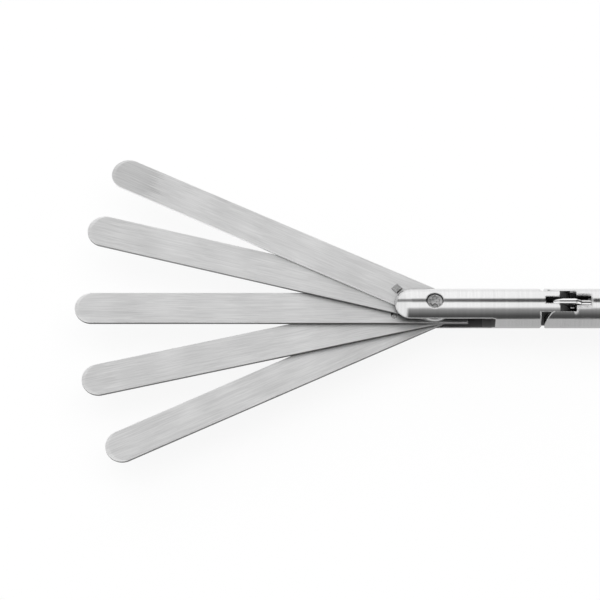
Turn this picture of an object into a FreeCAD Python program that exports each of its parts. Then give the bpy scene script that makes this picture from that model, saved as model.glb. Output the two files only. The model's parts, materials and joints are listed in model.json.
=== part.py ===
import FreeCAD, Part

import math
import os
import re
from collections import namedtuple

import PartDesign
import Sketcher

# A surgical fan retractor: five flat blades on one pivot in a slotted head, which bends on a
# hinge at the end of a long shaft. The spread knob pulls a rod that folds the fan, and the
# articulation wheel pulls a tube that bends the head.
#
# The frame: X runs along the shaft, with the handle at +X and the blades at -X. Z is normal to
# the fan. The origin is on the shaft's axis, at the seam between the fork piece and the tube.
# Lengths are in millimetres and angles in degrees. The model stands as in use, with the fan
# open and the head straight.

SIZES = {
    # clearances
    "running_gap": 0.05,
    "seat_gap": 0.02,
    "end_gap": 0.1,
    # shaft
    "shaft_diameter": 10,
    "tube_wall": 0.7,
    "tube_length": 224.4,
    "tube_seat": 8,
    "tube_seat_step": 0.3,
    "seam_break": 0.3,
    "bend_tube_diameter": 7.4,
    "bend_tube_wall": 0.7,
    "rod_diameter": 3,
    "cable_diameter": 1.6,
    "cable_grip": 3,
    "guide_length": 6,
    # fan
    "blade_width": 8.5,
    "blade_thickness": 0.8,
    "blade_spacing": 0.05,
    "blade_reach": 90.8,
    "blade_edge": 0.12,
    "tip_bevel": 0.9,
    "tip_bevel_depth": 0.22,
    "tail_length": 8.4,
    "fan_angle": 25.7,
    "upper_inner_angle": 14.4,
    "lower_inner_angle": 13.1,
    "drag_pin_diameter": 1.2,
    "outer_drag_radius": 10.5,
    "inner_drag_radius": 8,
    "drag_head_width": 1.95,
    "drag_head_height": 0.4,
    "drag_head_edge": 0.22,
    # fan pivot
    "pivot_offset": 32.6,
    "pivot_diameter": 2.7,
    "screw_head_diameter": 4.1,
    "screw_head_height": 0.7,
    "screw_seat": 3.3,
    "screw_depth": 4.2,
    "spanner_hole_edge": 0.15,
    "spanner_hole_diameter": 1.2,
    "spanner_hole_spacing": 2.2,
    "spanner_hole_depth": 0.45,
    "washer_diameter": 3.5,
    "washer_thickness": 0.5,
    # head
    "nose_reach": 10.9,
    "slot_reach": 15.2,
    "slot_corner": 0.8,
    "slot_relief": 0.8,
    "shoulder_reach": 26.8,
    "shoulder_edge": 0.3,
    "tongue_width": 5.7,
    "tongue_radius": 5.25,
    "tongue_centre": 3.5,
    "tongue_slot_width": 1.9,
    "tongue_slot_reach": 4.8,
    # drive of the fan
    "drive_radius": 2.9,
    "drive_pin_diameter": 1,
    "link_play": 0.1,
    "link_plate": 0.45,
    "link_neck": 1,
    "yoke_pin_diameter": 1.2,
    "yoke_pin_reach": 6.2,
    "yoke_width": 3.2,
    "yoke_height": 4.1,
    "yoke_mouth": 9,
    "yoke_length": 13,
    "stem_diameter": 3.1,
    "stem_end": 21,
    # bending joint
    "hinge_setback": 12,
    "hinge_pin_diameter": 2,
    "hinge_pin_depth": 1.5,
    "bend_angle": 45,
    "ear_radius": 5.05,
    "window_reach": 3,
    "window_corner": 0.25,
    "fork_slot_width": 3,
    "fork_slot_reach": 6.7,
    "spigot_length": 8,
    "bend_link_width": 1.5,
    "bend_link_eye": 1.5,
    "bend_link_rear_eye": 1.1,
    "bend_link_pin": 1.2,
    "bend_link_play": 0.2,
    "bend_link_clearance": 0.35,
    "front_pin_setback": 1.3,
    "front_pin_height": 2.9,
    "rear_pin_reach": 8.5,
    "rear_pin_height": 2.4,
    "bend_link_back": 2.7,
    "bend_link_dip": 1.3,
    "bend_tube_reach": 6,
    # handle
    "nose_length": 23.6,
    "nose_tip_diameter": 13.2,
    "grip_diameter": 20,
    "grip_length": 62,
    "grip_grooves": 9,
    "grip_groove_depth": 0.6,
    "grip_groove_pitch": 5,
    "core_diameter": 12,
    "core_bore": 10,
    "core_seat": 16,
    "chamber_length": 3.5,
    "seal_thickness": 0.96,
    "handle_washer": 0.5,
    "wheel_diameter": 28,
    "wheel_width": 14,
    "wheel_bore": 17,
    "wheel_scallops": 8,
    "scallop_radius": 5,
    "scallop_depth": 1.6,
    "spigot_reach": 2,
    "carriage_length": 7,
    "carriage_start": 0.25,
    "key_width": 3,
    "knob_diameter": 26,
    "knob_width": 22,
    "knob_flutes": 14,
    "flute_radius": 2,
    "flute_depth": 0.8,
    "knob_hub": 5.6,
    "knob_recess": 15.2,
    "ring_thickness": 1,
    "ring_width": 1.9,
    "ring_depth": 0.7,
    "nut_length": 10.4,
    "cap_diameter": 22,
    "cap_thickness": 2.5,
    "cap_plug": 2,
    "spindle_diameter": 8,
    "spindle_setback": 17.2,
    "spindle_end_gap": 2.4,
    "spindle_socket": 10,
    "spindle_key_setback": 18.8,
    "spindle_key_diameter": 3,
    "spindle_key_depth": 1.1,
    "grub_diameter": 3,
    "grub_key": 1.5,
    "grub_setback": 0.5,
    "port_bore": 4.1,
    "port_bore_length": 8,
    "port_passage": 2.4,
    "port_stem": 4.4,
    "port_barrel": 5.8,
    "port_flange": 6.8,
    "port_flange_height": 1,
    "port_lug": 7.8,
    "port_boss": 9.9,
    "edge_break": 0.6,
}

# Places and derived sizes, each worked out from the sizes above and from the ones before it.
PLACES = {
    "shaft_radius": "shaft_diameter / 2",
    "tube_bore": "shaft_radius - tube_wall",
    "tube_seat_radius": "shaft_radius - tube_seat_step",
    "bend_tube_radius": "bend_tube_diameter / 2",
    "bend_tube_bore": "bend_tube_radius - bend_tube_wall",
    "hinge_x": "-hinge_setback",
    "pivot_x": "hinge_x - pivot_offset",
    "blade_pitch": "blade_thickness + blade_spacing",
    "blade_half": "blade_width / 2",
    "stack_half": "2 * blade_pitch + blade_thickness / 2",
    "slot_half": "stack_half + washer_thickness + end_gap",
    "pivot_hole": "pivot_diameter / 2 + running_gap",
    "slot_pin": "drag_pin_diameter / 2 + running_gap",
    # the drive pins stand as far before the pivot's line when open as behind it when folded
    "drive_angle": "90 - fan_angle / 2",
    "drive_x": "drive_radius * cos(drive_angle)",
    "drive_y": "drive_radius * sin(drive_angle)",
    "link_floor": "stack_half + running_gap",
    "link_span": "sqrt((yoke_pin_reach + drive_x)^2 + drive_y^2)",
    "link_slant": "atan(drive_y / (yoke_pin_reach + drive_x))",
    "yoke_gap": "blade_thickness / 2 + end_gap",
    "tongue_half": "tongue_width / 2",
    "tongue_end": "pivot_offset - tongue_centre + tongue_radius",
    "tongue_edge": "pivot_offset - tongue_centre + sqrt(tongue_radius^2 - shaft_radius^2)",
    "tongue_floor": "front_pin_height - bend_link_eye - bend_link_clearance",
    "cable_passage": "cable_diameter / 2 + 0.5",
    # the fork's bore carries the sliding bend tube
    "fork_bore": "bend_tube_radius + 2 * running_gap",
    "bend_travel": "front_pin_height * sin(bend_angle) + front_pin_setback * (1 - cos(bend_angle))",
    "rod_radius": "rod_diameter / 2",
    "rod_start": "rear_pin_reach + bend_link_rear_eye + bend_travel - hinge_setback + 1.2",
    # along the handle, from the nose cone's front face
    "core_radius": "core_diameter / 2",
    "core_bore_radius": "core_bore / 2",
    "grip_radius": "grip_diameter / 2",
    "wheel_bore_radius": "wheel_bore / 2",
    "wheel_start": "nose_length + handle_washer + 2 * running_gap",
    "wheel_end": "wheel_start + wheel_width",
    "grip_start": "wheel_end + handle_washer + 2 * running_gap",
    "grip_end": "grip_start + grip_length",
    "knob_start": "grip_end + handle_washer + 2 * running_gap",
    "knob_end": "knob_start + knob_width",
    "carriage_front": "wheel_start + spigot_reach + carriage_start",
    "carriage_back": "carriage_front + carriage_length",
    "key_slot_end": "wheel_end - spigot_reach",
    "core_bore_end": "key_slot_end + 1.3",
    "key_pin_top": "sqrt(core_radius^2 - spindle_key_diameter^2 / 4)",
    "recess_start": "knob_start + knob_hub",
    "ring_place": "recess_start + end_gap",
    "core_end": "ring_place + ring_thickness + 2",
    "nut_end": "knob_end - cap_plug",
    "spindle_radius": "spindle_diameter / 2",
    "spindle_start": "grip_start + spindle_setback",
    "spindle_end": "nut_end - spindle_end_gap",
    "spindle_room": "spindle_start - 6",
    "spindle_key_place": "grip_end - spindle_key_setback",
    "seal_place": "core_seat - 2.5",
    "port_place": "tube_seat + chamber_length / 2",
    "port_top": "port_boss + port_flange_height + port_bore_length",
    "nose_groove": "bend_tube_radius + seal_thickness + 0.04",
}

Round = namedtuple("Round", "x y clockwise")


def named(text, own=()):
    """Writes an expression with the sheet's name before each size or place in it."""

    def full(match):
        word = match.group()
        if word in SIZES:
            return "sizes." + word
        if word in PLACES and word not in own:
            return "places." + word
        return word

    return re.sub(r"[a-z]\w*", full, text)


def fill_sheet(name, cells):
    """A spreadsheet with one named cell a row."""
    sheet = doc.addObject("Spreadsheet::Sheet", name)
    for row, (alias, content) in enumerate(cells.items(), 1):
        sheet.set(f"A{row}", alias)
        sheet.set(f"B{row}", content)
        sheet.setAlias(f"B{row}", alias)
    sheet.recompute()
    return sheet


def number(text):
    """The present value of an expression, where a new sketch starts."""
    workings.set("A1", "=" + named(text))
    workings.recompute()
    return float(workings.get("A1"))


def bind(thing, **values):
    """Ties properties of an object to expressions; two underscores stand for a dot."""
    for name, text in values.items():
        thing.setExpression(name.replace("__", "."), named(text))


def place(thing, x="0", y="0", z="0", turn="0", axis=(0, 0, 1)):
    """Sets an object's place, and its turn about an axis, by expressions."""
    thing.Placement.Rotation = FreeCAD.Rotation(FreeCAD.Vector(*axis), 1)
    bind(thing, Placement__Base__x=x, Placement__Base__y=y, Placement__Base__z=z,
         Placement__Rotation__Angle=turn)


def new_body(label, **where):
    """A body for one node, with its place in the frame."""
    body = doc.addObject("PartDesign::Body", label)
    body.Label = label
    place(body, **where)
    nodes.append(body)
    return body


def new_sketch(body, plane, shift=None):
    """A sketch on one of the body's own origin planes, moved by an expression if asked."""
    sketch = body.newObject("Sketcher::SketchObject", body.Label + "_sketch")
    support = [item for item in body.Origin.OriginFeatures if item.Role == plane + "_Plane"][0]
    sketch.AttachmentSupport = (support, [""])
    sketch.MapMode = "FlatFace"
    if shift:
        bind(sketch, **shift)
    return sketch


def fix(sketch, geometry, point, x=None, y=None):
    """Holds a point of a sketch at a distance from the sketch's origin."""
    for kind, text in (("DistanceX", x), ("DistanceY", y)):
        if text is not None:
            rule = Sketcher.Constraint(kind, -1, 1, geometry, point, number(text))
            sketch.setExpression(f"Constraints[{sketch.addConstraint(rule)}]", named(text))


def outline(sketch, items):
    """Draws a closed outline: corners, and a Round between two corners that an arc joins."""
    corners = []
    for index, item in enumerate(items):
        if not isinstance(item, Round):
            after = items[(index + 1) % len(items)]
            corners.append((item, after if isinstance(after, Round) else None))
    points = [FreeCAD.Vector(number(x), number(y), 0) for (x, y), _ in corners]
    first = sketch.GeometryCount
    ends = []
    for index, (_, bend) in enumerate(corners):
        start = points[index]
        finish = points[(index + 1) % len(points)]
        if bend is None:
            sketch.addGeometry(Part.LineSegment(start, finish))
            ends.append((1, 2))
            continue
        centre = FreeCAD.Vector(number(bend.x), number(bend.y), 0)
        low, high = (finish, start) if bend.clockwise else (start, finish)
        ends.append((2, 1) if bend.clockwise else (1, 2))
        turns = [math.atan2(point.y - centre.y, point.x - centre.x) for point in (low, high)]
        circle = Part.Circle(centre, FreeCAD.Vector(0, 0, 1), (start - centre).Length)
        sketch.addGeometry(Part.ArcOfCircle(circle, *turns))
    for index, ((x, y), bend) in enumerate(corners):
        here = first + index
        beyond = first + (index + 1) % len(corners)
        follower = ends[(index + 1) % len(corners)][0]
        sketch.addConstraint(Sketcher.Constraint("Coincident", here, ends[index][1], beyond, follower))
        fix(sketch, here, ends[index][0], x, y)
        if bend:
            span = points[(index + 1) % len(points)] - points[index]
            upright = abs(span.y) >= abs(span.x)
            fix(sketch, here, 3, bend.x if upright else None, None if upright else bend.y)
    return sketch


def box_outline(sketch, left, right, bottom, top):
    """Draws a rectangle between four expressions."""
    return outline(sketch, [(left, bottom), (right, bottom), (right, top), (left, top)])


def hole(sketch, x, y, radius):
    """Draws a circle."""
    centre = FreeCAD.Vector(number(x), number(y), 0)
    index = sketch.addGeometry(Part.Circle(centre, FreeCAD.Vector(0, 0, 1), number(radius)))
    fix(sketch, index, 3, x, y)
    rule = Sketcher.Constraint("Radius", index, number(radius))
    sketch.setExpression(f"Constraints[{sketch.addConstraint(rule)}]", named(radius))
    return sketch


def extrude(body, kind, sketch, length=None, symmetric=True, reverse=False):
    """Adds a Pad or a Pocket; with no length a Pocket goes through everything."""
    feature = body.newObject("PartDesign::" + kind, body.Label + "_" + kind.lower())
    feature.Profile = sketch
    feature.SideType = "Symmetric" if symmetric else "One side"
    feature.Reversed = reverse
    if length is None:
        feature.Type = "ThroughAll"
    else:
        bind(feature, Length=length)
    return feature


def turn(body, kind, sketch, axis="H", angle=360):
    """Adds a Revolution or a Groove about an axis of its sketch."""
    feature = body.newObject("PartDesign::" + kind, body.Label + "_" + kind.lower())
    feature.Profile = sketch
    feature.ReferenceAxis = (sketch, [axis + "_Axis"])
    feature.Angle = angle
    feature.Midplane = True
    return feature


def turned(label, items, axis="H", **where):
    """A body turned from one profile in the XZ plane."""
    body = new_body(label, **where)
    turn(body, "Revolution", outline(new_sketch(body, "XZ"), items), axis)
    return body


def soften(body, kind, size, wanted):
    """Fillets or chamfers the edges of the body's last shape that pass a test."""
    doc.recompute()
    base = body.Tip
    edges = [f"Edge{count}" for count, edge in enumerate(base.Shape.Edges, 1) if wanted(edge)]
    feature = body.newObject("PartDesign::" + kind, body.Label + "_" + kind.lower())
    feature.Base = (base, edges)
    bind(feature, **{"Radius" if kind == "Fillet" else "Size": size})
    return feature


def repeat(body, feature, count):
    """Repeats a cut round the body's X axis."""
    pattern = body.newObject("PartDesign::PolarPattern", body.Label + "_pattern")
    pattern.Originals = [feature]
    line = [item for item in body.Origin.OriginFeatures if item.Role == "X_Axis"][0]
    pattern.Axis = (line, [""])
    pattern.Angle = 360
    bind(pattern, Occurrences=count)
    body.Tip = pattern


def on_blade(angle, x, y):
    """The place of a point of a blade that is turned by an angle about the pivot."""
    return {
        "x": f"pivot_x + ({x}) * cos({angle}) - ({y}) * sin({angle})",
        "y": f"({x}) * sin({angle}) + ({y}) * cos({angle})",
        "turn": angle,
    }


def drag_slot(sketch, radius, angle, side):
    """Draws the arc slot in which a neighbour's drag pin runs, from folded to open."""
    inner, outer = f"({radius} - slot_pin)", f"({radius} + slot_pin)"
    across = lambda reach: (f"-{reach} * cos({angle})", f"{side} * {reach} * sin({angle})")
    first = side > 0
    outline(sketch, [
        (f"-{inner}", "0"), Round("0", "0", first),
        across(inner), Round(*across(radius), not first),
        across(outer), Round("0", "0", not first),
        (f"-{outer}", "0"), Round(f"-{radius}", "0", not first),
    ])


def make_blade(number_in_stack, angle, holes, slots, tail=None):
    """One fan blade: a long plate with a full round tip, its holes and its drag slots."""
    height = f"{3 - number_in_stack} * blade_pitch"
    body = new_body(f"blade_{number_in_stack}", x="pivot_x", z=height, turn=angle)
    tip = "(blade_half - blade_reach)"
    plate = [(tip, "-blade_half"), Round(tip, "0", True), (tip, "blade_half")]
    if tail:
        plate += [(tail, "blade_half"), (tail, "-blade_half")]
    else:
        plate += [("0", "blade_half"), Round("0", "0", True), ("0", "-blade_half")]
    extrude(body, "Pad", outline(new_sketch(body, "XY"), plate), "blade_thickness")
    soften(body, "Fillet", "blade_edge", lambda edge: edge.BoundBox.ZLength < 0.01)
    # the bevel is a shallow cone about a centre behind the tip's, so it fades out at the sides
    bevel = new_sketch(body, "XZ", {"AttachmentOffset__Base__x": tip + " + tip_bevel"})
    for face in ("blade_thickness / 2", "-blade_thickness / 2"):
        deep = face + (" - " if face[0] != "-" else " + ") + "tip_bevel_depth * 2"
        outline(bevel, [("-blade_half", face), ("-blade_half - tip_bevel * 2", deep),
                        ("-blade_half - tip_bevel * 2", face)])
    turn(body, "Groove", bevel, "V", 180)
    cut = hole(new_sketch(body, "XY"), "0", "0", "pivot_hole")
    for x, y, radius in holes:
        hole(cut, x, y, radius)
    for radius, reach, side in slots:
        drag_slot(cut, radius, reach, side)
    if tail:
        box_outline(cut, "yoke_pin_reach - slot_pin - end_gap", "tail_length + 1",
                    "-yoke_pin_diameter / 2 - running_gap", "yoke_pin_diameter / 2 + running_gap")
    extrude(body, "Pocket", cut)
    return body


def make_fan():
    """The five blades and the pins that drag or drive them."""
    snug = "drag_pin_diameter / 2 + seat_gap"
    drive_hole = "drive_pin_diameter / 2 + seat_gap"
    upper_gap = "(fan_angle - upper_inner_angle)"
    lower_gap = "(fan_angle - lower_inner_angle)"
    make_blade(1, "-fan_angle",
               [("-outer_drag_radius", "0", snug), ("drive_x", "-drive_y", drive_hole)], [])
    make_blade(2, "-upper_inner_angle",
               [("-inner_drag_radius", "0", snug)], [("outer_drag_radius", upper_gap, 1)])
    make_blade(3, "0", [],
               [("inner_drag_radius", "upper_inner_angle", 1),
                ("outer_drag_radius", "lower_inner_angle", -1)], tail="tail_length")
    make_blade(4, "lower_inner_angle",
               [("-outer_drag_radius", "0", snug)], [("inner_drag_radius", lower_gap, -1)])
    make_blade(5, "fan_angle",
               [("-inner_drag_radius", "0", snug), ("drive_x", "drive_y", drive_hole)], [])

    # each drag pin is riveted in its own blade and runs in the slot of the next one inwards
    pins = [(1, "-fan_angle", "outer_drag_radius", 1), (2, "-upper_inner_angle", "inner_drag_radius", 1),
            (4, "lower_inner_angle", "outer_drag_radius", -1), (5, "fan_angle", "inner_drag_radius", -1)]
    for count, angle, radius, side in pins:
        own_face = f"({3 - count} * blade_pitch + {side} * blade_thickness / 2)"
        far_face = f"({3 - count} * blade_pitch - {side} * (blade_pitch + blade_thickness / 2))"
        body = new_body(f"blade_{count}_drag_pin", **on_blade(angle, "-" + radius, "0"))
        shank = [("0", own_face), ("drag_pin_diameter / 2", own_face),
                 ("drag_pin_diameter / 2", far_face), ("0", far_face)]
        turn(body, "Revolution", outline(new_sketch(body, "XZ"), shank), "V")
        if count in (1, 5):
            half = "drag_head_width / 2"
            head = new_sketch(body, "XY", {"AttachmentOffset__Base__z": own_face,
                                           "AttachmentOffset__Rotation__Angle": f"45 - ({angle})"})
            box_outline(head, "-" + half, half, "-" + half, half)
            extrude(body, "Pad", head, "drag_head_height", symmetric=False, reverse=side < 0)
            soften(body, "Chamfer", "drag_head_edge",
                   lambda edge: edge.BoundBox.ZLength < 0.01
                   and abs(abs(edge.BoundBox.ZMax) - number("stack_half + drag_head_height")) < 0.01)

    for count, angle, side in ((1, "-fan_angle", 1), (5, "fan_angle", -1)):
        low = f"{side} * (stack_half - blade_thickness)"
        high = f"{side} * (link_floor + link_plate)"
        body = new_body(f"blade_{count}_drive_pin",
                        **on_blade(angle, "drive_x", f"{-side} * drive_y"))
        turn(body, "Revolution", outline(new_sketch(body, "XZ"), [
            ("0", low), ("drive_pin_diameter / 2", low),
            ("drive_pin_diameter / 2", high), ("0", high)]), "V")


def make_spread_links():
    """The two link plates between the yoke's pin and the drive pins of the outer blades."""
    for label, side in (("front_spread_link", 1), ("back_spread_link", -1)):
        body = new_body(label, x="pivot_x + yoke_pin_reach",
                        z=f"{side} * (link_floor + link_plate / 2)", turn=f"{side} * link_slant")
        plate = new_sketch(body, "XY")
        rear_neck = "-sqrt(yoke_pin_diameter^2 - link_neck^2 / 4)"
        front_neck = "-link_span + sqrt((drive_pin_diameter * 0.95)^2 - link_neck^2 / 4)"
        outline(plate, [
            (rear_neck, "-link_neck / 2"), (front_neck, "-link_neck / 2"),
            Round("-link_span", "0", True), (front_neck, "link_neck / 2"),
            (rear_neck, "link_neck / 2"), Round("0", "0", True)])
        hole(plate, "0", "0", "yoke_pin_diameter / 2 + running_gap")
        hole(plate, "-link_span", "0", "drive_pin_diameter / 2 + link_play")
        extrude(body, "Pad", plate, "link_plate")


def make_yoke():
    """The yoke that pulls both links, its pin, and the cable that pulls the yoke."""
    body = new_body("drive_yoke", x="pivot_x")
    side = "yoke_width / 2"
    extrude(body, "Pad", outline(new_sketch(body, "XY"), [
        ("yoke_pin_reach", "-" + side), ("yoke_length", "-" + side), ("yoke_length", side),
        ("yoke_pin_reach", side), Round("yoke_pin_reach", "0", False)]), "yoke_height")
    stem = "stem_diameter / 2"
    turn(body, "Revolution", outline(new_sketch(body, "XZ"), [
        ("yoke_length - 1", "0"), ("yoke_length - 1", stem), ("stem_end - 0.3", stem),
        ("stem_end", stem + " - 0.3"), ("stem_end", "0")]))
    cut = box_outline(new_sketch(body, "XZ"), "yoke_pin_reach - yoke_width", "yoke_mouth",
                      "-yoke_gap", "yoke_gap")
    extrude(body, "Pocket", cut)
    pin = hole(new_sketch(body, "XY"), "yoke_pin_reach", "0", "yoke_pin_diameter / 2 + seat_gap")
    extrude(body, "Pocket", pin)
    socket = "cable_diameter / 2 + seat_gap"
    turn(body, "Groove", outline(new_sketch(body, "XZ"), [
        ("stem_end - cable_grip", "0"), ("stem_end - cable_grip", socket),
        ("stem_end + 1", socket), ("stem_end + 1", "0")]))

    half = "(link_floor + link_plate)"
    radius = "yoke_pin_diameter / 2"
    turned("yoke_pin", [("0", "-" + half), (radius, "-" + half), (radius, half), ("0", half)],
           "V", x="pivot_x + yoke_pin_reach")

    start = "pivot_x + stem_end - cable_grip"
    finish = "rod_start + cable_grip"
    radius = "cable_diameter / 2"
    turned("drive_cable", [(start, "0"), (start, radius), (finish, radius), (finish, "0")])


def make_pivot():
    """The pivot screw with its two spanner holes, and the thrust washers beside the blades."""
    screw = turned("pivot_screw", [
        ("0", "-screw_depth"), ("pivot_diameter / 2 - 0.3", "-screw_depth"),
        ("pivot_diameter / 2", "-screw_depth + 0.3"), ("pivot_diameter / 2", "screw_seat"),
        ("screw_head_diameter / 2", "screw_seat"),
        ("screw_head_diameter / 2", "screw_seat + screw_head_height - 0.15"),
        ("screw_head_diameter / 2 - 0.15", "screw_seat + screw_head_height"),
        ("0", "screw_seat + screw_head_height")], "V", x="pivot_x")
    holes = new_sketch(screw, "XY", {"AttachmentOffset__Base__z": "screw_seat + screw_head_height"})
    hole(holes, "0", "spanner_hole_spacing / 2", "spanner_hole_diameter / 2")
    hole(holes, "0", "-spanner_hole_spacing / 2", "spanner_hole_diameter / 2")
    extrude(screw, "Pocket", holes, "spanner_hole_depth", symmetric=False)
    soften(screw, "Chamfer", "spanner_hole_edge",
           lambda edge: edge.BoundBox.ZMin > number("screw_seat + screw_head_height") - 0.01
           and edge.BoundBox.XLength < number("spanner_hole_diameter") + 0.01)

    washers = new_body("thrust_washers", x="pivot_x")
    rings = new_sketch(washers, "XZ")
    for side in ("", "-"):
        box_outline(rings, "pivot_hole", "washer_diameter / 2", f"{side}(stack_half + running_gap)",
                    f"{side}(stack_half + running_gap + washer_thickness)")
    turn(washers, "Revolution", rings, "V")


def make_head():
    """The slotted head with its ball nose and its tongue, in a frame from the fan's pivot."""
    head = new_body("head", x="pivot_x")
    ball = "(shaft_radius - nose_reach)"
    turn(head, "Revolution", outline(new_sketch(head, "XZ"), [
        ("-nose_reach", "0"), Round(ball, "0", True), (ball, "shaft_radius"),
        ("tongue_end", "shaft_radius"), ("tongue_end", "0")]))

    # the slot for the blades, open at both sides and through the nose
    corner = "(slot_reach - slot_corner)"
    level = "(slot_half - slot_corner)"
    extrude(head, "Pocket", outline(new_sketch(head, "XZ"), [
        ("-nose_reach - 1", "-slot_half"), (corner, "-slot_half"),
        Round(corner, "-" + level, False), ("slot_reach", "-" + level),
        ("slot_reach", level), Round(corner, level, False),
        (corner, "slot_half"), ("-nose_reach - 1", "slot_half")]))
    relief = new_sketch(head, "XY")
    for side in ("", "-"):
        outline(relief, [
            ("slot_reach - 1", side + "(shaft_radius - slot_relief)"),
            ("slot_reach", side + "(shaft_radius - slot_relief)"),
            ("slot_reach + slot_relief + 1", side + "(shaft_radius + 1)"),
            ("slot_reach - 1", side + "(shaft_radius + 1)")])
    extrude(head, "Pocket", relief, "2 * slot_half + slot_relief")

    # the tongue: two flats, then a round end
    flats = new_sketch(head, "XY")
    for side in ("", "-"):
        box_outline(flats, "shoulder_reach", "tongue_end + 1", side + "tongue_half",
                    side + "(shaft_radius + 1)")
    extrude(head, "Pocket", flats)
    centre = "pivot_offset - tongue_centre"
    rim = "(shaft_radius + 1)"
    extrude(head, "Pocket", outline(new_sketch(head, "XZ"), [
        ("tongue_edge", "-shaft_radius"), Round(centre, "0", False),
        ("tongue_edge", "shaft_radius"), ("tongue_edge", rim), ("tongue_end + 1", rim),
        ("tongue_end + 1", "-" + rim), ("tongue_edge", "-" + rim)]))
    soften(head, "Chamfer", "shoulder_edge", at_shoulder)

    slot = box_outline(new_sketch(head, "XZ"), "pivot_offset - tongue_slot_reach",
                       "tongue_end + 1", "tongue_floor", rim)
    extrude(head, "Pocket", slot, "tongue_slot_width")
    pins = hole(new_sketch(head, "XZ"), "pivot_offset", "0", "hinge_pin_diameter / 2 + running_gap")
    hole(pins, "pivot_offset - front_pin_setback", "front_pin_height", "bend_link_pin / 2 + seat_gap")
    extrude(head, "Pocket", pins)

    # the stem's bore, then the cable's passage through the tongue
    stem = "stem_diameter / 2 + running_gap"
    turn(head, "Groove", outline(new_sketch(head, "XZ"), [
        ("slot_reach - 1", "0"), ("slot_reach - 1", stem), ("stem_end + 3", stem),
        ("stem_end + 3.4", "cable_passage"), ("tongue_end + 1", "cable_passage"),
        ("tongue_end + 1", "0")]))

    # the pivot's bore: threaded below, clear above, with a recess for the screw's head
    thread = "pivot_diameter / 2 + seat_gap"
    recess = "screw_head_diameter / 2 + running_gap"
    turn(head, "Groove", outline(new_sketch(head, "XZ"), [
        ("0", "-" + rim), (thread, "-" + rim), (thread, "0"), ("pivot_hole", "0"),
        ("pivot_hole", "screw_seat"), (recess, "screw_seat"), (recess, rim), ("0", rim)]), "V")


def at_shoulder(edge):
    """Whether an edge of the head is an arc where the shoulder meets the round outside."""
    box = edge.BoundBox
    return (abs(box.XMin - number("shoulder_reach")) < 0.01 and box.XLength < 0.01
            and abs(max(box.YMax, -box.YMin) - number("shaft_radius")) < 0.01) and box.ZLength > 1


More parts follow.
